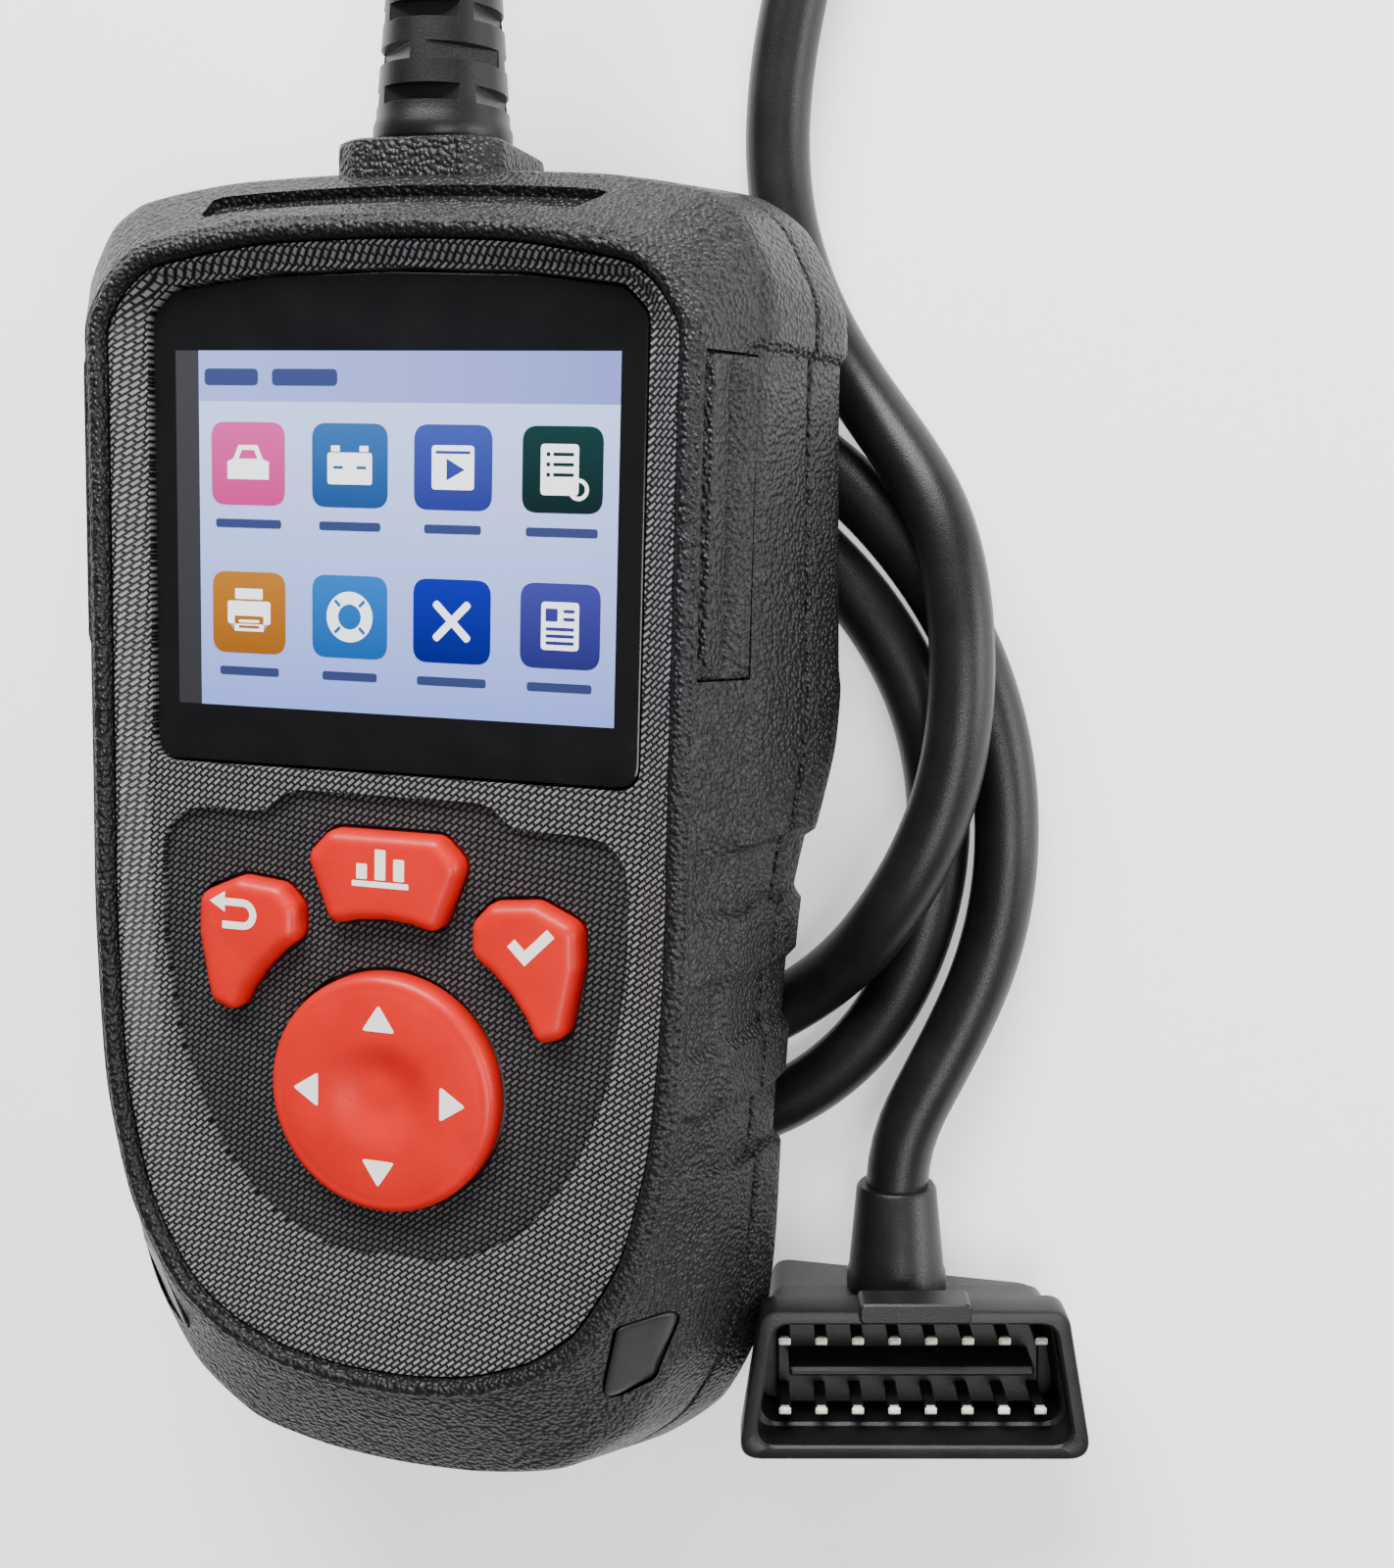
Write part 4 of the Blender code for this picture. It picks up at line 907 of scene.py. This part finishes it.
def make_picture():
    centre_x, centre_y = SCREEN_CENTRE
    width, height = SCREEN_SIZE
    left, right = centre_x - width / 2, centre_x + width / 2
    foot, top = centre_y - height / 2, centre_y + height / 2
    ground = lit_picture("picture_ground", (0.17, 0.24, 0.68), (0.48, 0.58, 0.92), 0.08, span=(foot, top))
    band = lit_picture("picture_band", (0.26, 0.32, 0.68), (0.17, 0.21, 0.56), 0.06, "X", (left, right))
    ink = lit_picture("picture_ink", (0.02, 0.03, 0.10), (0.03, 0.04, 0.14), 0.1, span=ANYWHERE)
    white = lit_picture("picture_white", (0.86, 0.90, 0.96), (0.92, 0.95, 0.98), 0.15, span=ANYWHERE)
    unlit = lit_picture("picture_frame", (0.020, 0.020, 0.024), (0.034, 0.034, 0.040), 0.0, span=ANYWHERE)
    strip = rectangle(DARK_STRIP, height, (left + DARK_STRIP / 2, centre_y))
    print_layer("picture_frame", [strip], 0, unlit)
    lit_x = centre_x + DARK_STRIP / 2
    print_layer("picture", [rectangle(width - DARK_STRIP, height, (lit_x, centre_y))], 0, ground)
    header = rectangle(width - DARK_STRIP, HEADER_HEIGHT, (lit_x, top - HEADER_HEIGHT / 2))
    print_layer("picture_header", [header], 1, band)
    title = [bar(long, 1.7, centre_x + x, centre_y + TITLE_Y, corner=0.5) for long, x in TITLE_BARS]
    print_layer("picture_title", title, 2, ink)
    for index, (colours, symbol) in enumerate(zip(TILE_COLOURS, symbols())):
        make_tile(index, colours, symbol, ink, white)


# ---------------------------------------------------------------- keys

MARK_DEPTH = 0.06


def make_key(name, marks):
    outline = evenly(key_outline(name))
    steps = [(0.0, 8.9), (0.0, KEY_TOP_Z - 1.5), (0.08, KEY_TOP_Z - 1.0), (0.3, KEY_TOP_Z - 0.55),
             (0.65, KEY_TOP_Z - 0.2), (1.1, KEY_TOP_Z - 0.03), (1.6, KEY_TOP_Z)]
    loops = [level(inset(outline, distance), z) for distance, z in steps]
    show(name + "_cap", skin_mesh(name + "_cap", loops, angle=60.0), KEY_RED, body=name, replaces=[name])
    show(name + "_mark", flat_mesh(name + "_mark", marks, KEY_TOP_Z, MARK_DEPTH), MARK_WHITE, body=name)


ARROW_ARM = 1.2                  # how far the arms reach past the middle
ARROW_OUTER = 1.65
ARROW_INNER = 0.85


def half_turn(centre, radius, steps, forwards=True):
    angles = [math.pi * step / steps for step in range(1, steps)]
    if not forwards:
        angles.reverse()
    return [(centre[0] + radius * math.sin(a), centre[1] + radius * math.cos(a)) for a in angles]


def arrow_mark(x, y):
    """A returning arrow: a head on the upper arm of a sideways U."""
    bend = (x + ARROW_ARM, y)
    head = [(x - 0.9, y + ARROW_INNER), (x - 0.9, y + 0.15), (x - 2.7, y + 1.25), (x - 0.9, y + 2.35)]
    outer = [(x - 0.9, y + ARROW_OUTER), (bend[0], y + ARROW_OUTER), *half_turn(bend, ARROW_OUTER, 14)]
    outer += [(x + ARROW_ARM, y - ARROW_OUTER), (x - ARROW_ARM, y - ARROW_OUTER)]
    outer += [(x - ARROW_ARM, y - ARROW_INNER), (x + ARROW_ARM, y - ARROW_INNER)]
    return [*outer, *half_turn(bend, ARROW_INNER, 12, False), (bend[0], y + ARROW_INNER), *head]


def tick_mark(x, y):
    corners = [(-2.4, 0.1), (-1.6, 0.9), (-0.5, -0.2), (1.9, 2.2), (2.7, 1.4), (-0.5, -1.8)]
    return [(x + across, y + up) for across, up in corners]


def gauge_marks(x, y):
    """A plain read-out symbol: three columns over a base line."""
    marks = [bar(6.4, 0.6, x, y - 1.7)]
    for tall, shift in ((1.6, -2.1), (3.2, 0.0), (2.3, 2.1)):
        marks.append(bar(1.2, tall, x + shift, y - 1.2 + tall / 2))
    return marks


def make_disc():
    top = KEY_TOP_Z + 0.3
    profile = [(0.0, 9.3), (NAV_RADIUS - 0.2, 9.3), (NAV_RADIUS, 9.6), (NAV_RADIUS, top - 1.3)]
    for step in range(1, 9):
        angle = math.radians(90 * step / 8)
        profile.append((NAV_RADIUS - 1.1 * (1 - math.cos(angle)), top - 1.3 + 1.1 * math.sin(angle)))
    profile += [(NAV_RADIUS - 1.7, top - 0.12), (NAV_RADIUS - 2.2, top), (6.6, top - 0.02)]
    for step in range(1, 13):
        share = step / 12
        radius = 6.6 * (1 - share)
        profile.append((radius, top - 0.02 - 1.15 * float(eased(share, 0.0, 0.75))))
    mesh = turned_mesh("disc_cap", profile, 160)
    mesh.transform(Matrix.Translation((0, NAV_CENTRE_Y * MM, 0)))
    show("disc_cap", mesh, KEY_RED, body="nav_disc", replaces=["nav_disc"])
    marks = []
    for quarter in range(4):
        angle = math.radians(90 * quarter)
        cos, sin = math.cos(angle), math.sin(angle)
        triangle = rounded([(9.9, 0.0), (7.0, 1.9), (7.0, -1.9)], 0.2, 3)
        marks.append([(px * cos - py * sin, NAV_CENTRE_Y + px * sin + py * cos) for px, py in triangle])
    show("disc_marks", flat_mesh("disc_marks", marks, top, MARK_DEPTH), MARK_WHITE, body="nav_disc")


# ---------------------------------------------------------------- cable

def smooth_value(at, knots, values):
    """Value between knots, eased so that the slope has no corners."""
    slopes = np.gradient(values, knots)
    index = int(np.clip(np.searchsorted(knots, at) - 1, 0, len(knots) - 2))
    width = knots[index + 1] - knots[index]
    t = (at - knots[index]) / width
    leaving, arriving = width * slopes[index], width * slopes[index + 1]
    return float(hermite(t, values[index], values[index + 1], leaving, arriving))


def loop_points():
    """The loops under the reader: two turns and the crossing turn, read from their knots."""
    angles, radii, lifts = (np.array(column, dtype=float) for column in zip(*LOOP_KNOTS))
    points = []
    steps = round(angles[-1] / LOOP_STEP_DEGREES)
    for index in range(steps + 1):
        turn = angles[-1] * index / steps
        angle = math.radians(LOOP_START_ANGLE - turn)
        radius = smooth_value(turn, angles, radii)
        lift = max(smooth_value(turn, angles, lifts), 0.0)
        points.append((LOOP_CENTRE[0] + radius * math.cos(angle),
                       LOOP_CENTRE[1] + radius * math.sin(angle), CABLE_Z + lift))
    return points


def plug_matrix():
    return Matrix.Rotation(PLUG_TURN, 3, "Z") @ Matrix.Rotation(PLUG_LEAN, 3, "Y")


def plug_point(x, y, height):
    """A point of the plug, from its mouth's centre: across, along its depth, and out of the mouth."""
    return Vector(PLUG_CENTRE) + plug_matrix() @ Vector((x, y, height))


def plug_relief_point(along):
    """A point on the axis of the plug's strain relief, from the plug's side, level with the floor."""
    flat = Matrix.Rotation(PLUG_TURN, 3, "Z") @ Vector((PLUG_RELIEF_X, PLUG_SIDE_Y + GAP + along, 0))
    return Vector((PLUG_CENTRE[0] + flat.x, PLUG_CENTRE[1] + flat.y, FLOOR_Z + PLUG_RELIEF_Z))


def resample(points, step):
    """Points at equal steps along a smooth curve through the given ones."""
    control = [Vector(points[0]) * 2 - Vector(points[1])] + [Vector(p) for p in points]
    control.append(Vector(points[-1]) * 2 - Vector(points[-2]))
    fine = []
    for index in range(1, len(control) - 2):
        before, start, end, after = control[index - 1:index + 3]
        for part in range(12):
            t = part / 12
            bend = (2 * before - 5 * start + 4 * end - after) * t ** 2
            twist = (3 * start - before - 3 * end + after) * t ** 3
            fine.append(0.5 * (2 * start + (end - before) * t + bend + twist))
    fine.append(control[-2])
    travelled = [0.0]
    for first, second in zip(fine, fine[1:]):
        travelled.append(travelled[-1] + (second - first).length)
    count = round(travelled[-1] / step)
    targets = np.linspace(0.0, travelled[-1], count + 1)
    columns = [np.interp(targets, travelled, [p[axis] for p in fine]) for axis in range(3)]
    return [Vector(values) for values in zip(*columns)]


def make_cable():
    """The cable from inside the collar, through its relief and its loops, into the plug's relief."""
    sleeve_end = COLLAR_Y[1] + GAP + RELIEF_LENGTH
    start = [Vector((0.0, sleeve_end - before, PARTING_Z)) for before in (6, 1)]
    finish = [plug_relief_point(PLUG_RELIEF_LENGTH + along) for along in (4.5, 0.6, -4.0)]
    route = start + [Vector(p) for p in LEAD_POINTS + loop_points()] + finish
    points = resample(route, CABLE_STEP)
    length = sum((b - a).length for a, b in zip(points, points[1:]))
    curve = bpy.data.curves.new("cable_jacket", "CURVE")
    curve.dimensions = "3D"
    curve.bevel_depth = CABLE_RADIUS * MM
    curve.bevel_resolution = 8
    curve.resolution_u = 6
    curve.use_fill_caps = True
    spline = curve.splines.new("NURBS")
    spline.points.add(len(points) - 1)
    for target, point in zip(spline.points, points):
        target.co = (*(point * MM), 1.0)
    spline.order_u = 4
    spline.use_endpoint_u = True
    item = show("cable_jacket", curve, JACKET, replaces=["cable"])
    return item, placed(route[0]), length * MM


SLEEVE_RADIUS = 7.0
SLEEVE_TAPER = 2.2               # how much thinner the sleeve is at its end
SLEEVE_FOOT = 2.4
SLOT_ROWS = 7
SLOT_PITCH = 4.1
SLOT_DEPTH = 3.6
SLOT_WIDTH = 1.7
SLOT_SHARE = 0.62                # a slot's length, as a share of the sleeve's width


def make_case_relief():
    """The flexible sleeve: a tapered tube with rows of slots all round."""
    length = RELIEF_LENGTH
    profile = [(0, 0.0), (SLEEVE_RADIUS + 0.1, 0.0), (SLEEVE_RADIUS + 0.3, 0.3), (SLEEVE_RADIUS + 0.3, 1.6),
               (SLEEVE_RADIUS, SLEEVE_FOOT)]
    for step in range(1, 13):
        share = step / 12
        profile.append((SLEEVE_RADIUS - SLEEVE_TAPER * share, SLEEVE_FOOT + (length - 3.2) * share))
    profile += [(4.5, length), (0, length)]
    mesh = turned_mesh("cable_sleeve", profile, 72)
    start = Vector((0, COLLAR_Y[1] + GAP, PARTING_Z)) * MM
    place = Matrix.Translation(start) @ Matrix.Rotation(-math.pi / 2, 4, "X")
    mesh.transform(place)
    sleeve = show("cable_sleeve", mesh, JACKET, replaces=["strain_relief"])
    shape = bmesh.new()
    for row in range(SLOT_ROWS):
        along = SLEEVE_FOOT + 2.0 + SLOT_PITCH * row
        radius = SLEEVE_RADIUS - SLEEVE_TAPER * along / length
        size = Matrix.Diagonal((SLOT_DEPTH * MM, 2 * radius * SLOT_SHARE * MM, SLOT_WIDTH * MM, 1.0))
        for slot in range(4):
            turn = Matrix.Rotation(math.radians(90 * slot + 45 * (row % 2)), 4, "Z")
            shift = Matrix.Translation(Vector((radius + 0.4, 0, along)) * MM)
            bmesh.ops.create_cube(shape, size=1.0, matrix=place @ turn @ shift @ size)
    subtract(sleeve, hidden(show("slots", mesh_from("slots", shape), None, body=None)))
    bake_modifiers(sleeve)
    soften(sleeve, 0.25)
    return sleeve


# ---------------------------------------------------------------- plug

def plug_loop(distance, height, corner=2.2):
    """The plug's outline, inset, at a height from its mouth: wide side at -Y, narrow side at +Y."""
    half = PLUG_DEEP / 2
    corners = [(-PLUG_WIDE / 2, -half), (PLUG_WIDE / 2, -half),
               (PLUG_NARROW / 2, half), (-PLUG_NARROW / 2, half)]
    outline = rounded(offset(corners, distance), corner)
    return [plug_point(x, y, height) for x, y in outline]


def plug_foot(distance, lift):
    """The plug's outline carried down its own axis to a level just above the floor."""
    axis = plug_matrix() @ Vector((0, 0, 1))
    return [point - axis * ((point.z - FLOOR_Z - lift) / axis.z) for point in plug_loop(distance, 0.0)]


def make_plug():
    inset_body = PLUG_BODY_INSET
    loops = [plug_foot(inset_body + 0.8, 0.0), plug_foot(inset_body + 0.25, 0.3), plug_foot(inset_body, 1.0),
             plug_loop(inset_body, PLUG_FLANGE - 0.3), plug_loop(inset_body - 0.3, PLUG_FLANGE),
             plug_loop(0.3, PLUG_FLANGE), plug_loop(0.0, PLUG_FLANGE + 0.3), plug_loop(0.0, -0.35),
             plug_loop(0.12, -0.1), plug_loop(0.35, 0.0), plug_loop(PLUG_WALL - 0.25, 0.0),
             plug_loop(PLUG_WALL, -0.25), plug_loop(PLUG_WALL, PLUG_FLOOR)]
    return show("plug_case", skin_mesh("plug_case", loops), MOULDED, replaces=["plug_housing"])


def plug_block(name, size, low, high, corner, material, replaces=(), shift=(0.0, 0.0), round_edge=0.3):
    """A block standing square to the plug's mouth."""
    outline = rounded(rectangle(*size, shift), corner)
    small = rounded(offset(rectangle(*size, shift), round_edge), corner)
    heights = (low, high - 3 * round_edge, high - round_edge)
    loops = [[plug_point(x, y, height) for x, y in outline] for height in heights]
    loops.append([plug_point(x, y, high) for x, y in small])
    return show(name, skin_mesh(name, loops), material, replaces=replaces)


PIN_SIZE = (1.3, 0.8)
PIN_TIP = 0.7                    # the bright end of each contact


TAB_SIZE = (12.0, 2.2)            # the raised tab on the mouth's narrow side


def make_tab():
    place = (0.0, PLUG_DEEP / 2)
    return plug_block("mouth_tab", TAB_SIZE, -3.0, 0.9, 0.6, MOULDED, shift=place, round_edge=0.2)


def make_contact(index, spot):
    """A contact whose blade wears the dark plug moulding as painted shade for the inside of the mouth, with
    the plated colour only on its tip.
    """
    name = "contact_%02d" % index
    foot = CARRIER_TOP + 0.2
    # Painted shade: the metal blade takes the black moulding because the inside of the plug's mouth is dark.
    # Only the faces near the tip take the plated colour.
    blade = plug_block(name + "_blade", PIN_SIZE, foot, PIN_TOP, 0.2, MOULDED, [name], spot, 0.25)
    blade.data.materials.append(CONTACT)
    tip = plug_point(*spot, PIN_TOP)
    for face in blade.data.polygons:
        if (face.center / MM - tip).length < PIN_TIP:
            face.material_index = 1
    return blade


def make_plug_inside():
    block = plug_block("carrier_block", CARRIER_SIZE, PLUG_FLOOR + 0.3, CARRIER_TOP, 1.0, MOULDED,
                       ["contact_carrier"])
    pieces = [block, plug_block("carrier_ridge", RIB_SIZE, CARRIER_TOP - 0.2, RIB_TOP, 0.4, MOULDED)]
    for row, side in enumerate((1, -1)):
        for column in range(CONTACTS_IN_ROW):
            spot = ((column - (CONTACTS_IN_ROW - 1) / 2) * PIN_PITCH, side * PIN_ROW_OFFSET)
            pieces.append(make_contact(row * CONTACTS_IN_ROW + column + 1, spot))
    return pieces


def make_plug_relief():
    length = PLUG_RELIEF_LENGTH
    profile = [(0, 0), (5.4, 0), (5.6, 0.2), (5.6, 1.8), (5.35, 2.4), (4.5, length - 0.4), (4.2, length),
               (0, length)]
    mesh = turned_mesh("plug_sleeve", profile, 64)
    start = plug_relief_point(0.0)
    axis = (plug_relief_point(1.0) - start).normalized()
    turn = Vector((0, 0, 1)).rotation_difference(axis).to_matrix().to_4x4()
    mesh.transform(Matrix.Translation(start * MM) @ turn)
    return show("plug_sleeve", mesh, JACKET, replaces=["plug_relief"])


# ---------------------------------------------------------------- pieces that keep their CAD shape

def brushed_metal(name, low, high, roughness):
    """Sheet or turned metal with fine streaks along X."""
    material, nodes, links, shader = new_material(name, low, roughness, metallic=1.0)
    vector = object_space(nodes, links)
    stretch = nodes.new("ShaderNodeMapping")
    stretch.inputs["Scale"].default_value = (0.06, 1.0, 1.0)
    links.new(vector, stretch.inputs["Vector"])
    streaks = noise(nodes, links, stretch.outputs["Vector"], 5.0)
    links.new(ramp(nodes, links, streaks, [(0.3, low), (0.7, high)]), shader.inputs["Base Color"])
    links.new(ramp(nodes, links, streaks, [(0.3, roughness - 0.08), (0.7, roughness + 0.12)]),
              shader.inputs["Roughness"])
    bump(nodes, links, shader, streaks, 0.01)
    return material


def circuit_board(name):
    """Green lacquer over a faint net of tracks."""
    material, nodes, links, shader = new_material(name, (0.01, 0.16, 0.06), 0.35, coat=0.5)
    vector = object_space(nodes, links)
    tracks = nodes.new("ShaderNodeTexBrick")
    set_inputs(tracks, {"Scale": 1.0, "Brick Width": 4.0, "Row Height": 1.3, "Mortar Size": 0.12,
                        "Color1": (0.010, 0.150, 0.055, 1.0), "Color2": (0.012, 0.180, 0.065, 1.0),
                        "Mortar": (0.030, 0.260, 0.100, 1.0)})
    links.new(vector, tracks.inputs["Vector"])
    links.new(tracks.outputs["Color"], shader.inputs["Base Color"])
    bump(nodes, links, shader, tracks.outputs["Fac"], 0.03)
    return material


def dress_cad():
    """The electronics, the screws and the label keep their CAD shapes and get finishes of their own."""
    metal = brushed_metal("tinned_sheet", (0.50, 0.50, 0.52), (0.68, 0.68, 0.70), 0.32)
    screw = brushed_metal("blackened_screw", (0.10, 0.10, 0.105), (0.18, 0.18, 0.185), 0.34)
    chip = satin_plastic("chip_epoxy", (0.012, 0.012, 0.013), (0.022, 0.022, 0.024), 0.45, depth=0.03)
    finishes = {
        "main_board": circuit_board("circuit_board"),
        "key_mat": satin_plastic("silicone", (0.30, 0.30, 0.31), (0.36, 0.36, 0.37), 0.55),
        "display_ribbon": satin_plastic("ribbon_film", (0.60, 0.25, 0.05), (0.72, 0.33, 0.08), 0.35),
        "nav_pivot": satin_plastic("acetal", (0.78, 0.76, 0.70), (0.84, 0.82, 0.76), 0.4),
        "cable_header": satin_plastic("nylon", (0.76, 0.73, 0.62), (0.84, 0.81, 0.70), 0.45),
        "rear_label": satin_plastic("label_film", (0.30, 0.30, 0.31), (0.35, 0.35, 0.36), 0.42),
        "cable_clamp": screw,
    }
    for node in ("display_tray", "quartz_crystal", "capacitor_1", "capacitor_2"):
        finishes[node] = metal
    for node in ("processor", "memory_chip", "bus_transceiver", "power_regulator", "buzzer"):
        finishes[node] = chip
    finishes.update({"case_screw_%d" % (index + 1): screw for index in range(4)})
    for node, material in finishes.items():
        for slot in bpy.data.objects[node].material_slots:
            slot.material = material


# ---------------------------------------------------------------- camera, floor and light

CAMERA_PLACE = (83.57, 36.16, 184.19)
CAMERA_RIGHT = (0.95911, 0.02725, -0.28173)
CAMERA_UP = (-0.06532, 0.98979, -0.12663)
CAMERA_BACK = (0.27540, 0.13986, 0.95110)
CAMERA_LENS = 42.54


def make_camera():
    data = bpy.data.cameras.new("photo_view")
    data.sensor_fit = "VERTICAL"
    data.sensor_height = 36.0
    data.sensor_width = 36.0
    data.lens = CAMERA_LENS
    data.clip_start = 0.005
    data.clip_end = 10.0
    item = bpy.data.objects.new("photo_view", data)
    axes = Matrix((CAMERA_RIGHT, CAMERA_UP, CAMERA_BACK)).transposed().to_4x4()
    item.matrix_world = Matrix.Translation(placed(CAMERA_PLACE)) @ axes
    bpy.context.scene.collection.objects.link(item)
    bpy.context.scene.camera = item


FLOOR_SIZE = 2.5                 # metres
FLOOR_GLOW = 0.6
SKY_STRENGTH = 0.22
# Name, place and size in millimetres, and power in watts
LIGHTS = [("key_light", (-60.0, 560.0, 330.0), (520.0, 240.0), 12.0),
          ("side_light", (560.0, 60.0, 120.0), (320.0, 200.0), 2.5),
          ("top_light", (330.0, -120.0, 620.0), (300.0, 300.0), 4.0)]


def make_light(name, place, size, power, target=(10.0, 0.0, 0.0)):
    data = bpy.data.lights.new(name, "AREA")
    data.shape = "RECTANGLE"
    data.size, data.size_y = (part * MM for part in size)
    data.energy = power
    item = bpy.data.objects.new(name, data)
    item.location = placed(place)
    item.rotation_euler = (Vector(target) - Vector(place)).to_track_quat("-Z", "Y").to_euler()
    bpy.context.scene.collection.objects.link(item)


def make_stage():
    shape = bmesh.new()
    bmesh.ops.create_grid(shape, x_segments=1, y_segments=1, size=FLOOR_SIZE,
                          matrix=Matrix.Translation((0, 0, (FLOOR_Z - 0.05) * MM)))
    mesh = mesh_from("floor", shape)
    paper, nodes, links, shader = new_material("paper", (0.92, 0.92, 0.92), 0.7)
    fibres = noise(nodes, links, object_space(nodes, links), 0.8)
    links.new(ramp(nodes, links, fibres, [(0.3, 0.90), (0.7, 0.94)]), shader.inputs["Base Color"])
    set_inputs(shader, {"Emission Color": (1.0, 1.0, 1.0, 1.0), "Emission Strength": FLOOR_GLOW})
    show("floor", mesh, paper, body=None)
    world = bpy.data.worlds.new("studio")
    world.use_nodes = True
    set_inputs(world.node_tree.nodes["Background"], {"Color": (1.0, 1.0, 1.0, 1.0), "Strength": SKY_STRENGTH})
    bpy.context.scene.world = world
    for name, place, size, power in LIGHTS:
        make_light(name, place, size, power)


make_camera()
cable, cable_exit, cable_length = make_cable()
sleeve = make_case_relief()
plug = [make_plug(), make_tab(), *make_plug_inside(), make_plug_relief()]
make_front()
make_rear()
make_grips()
make_pads()
make_collar()
make_face()
make_lens()
make_picture()
make_key("back_key", [arrow_mark(-17.2, -6.4)])
make_key("ok_key", [tick_mark(16.6, -7.2)])
make_key("menu_key", gauge_marks(0.0, -0.2))
make_disc()
dress_cad()
make_stage()
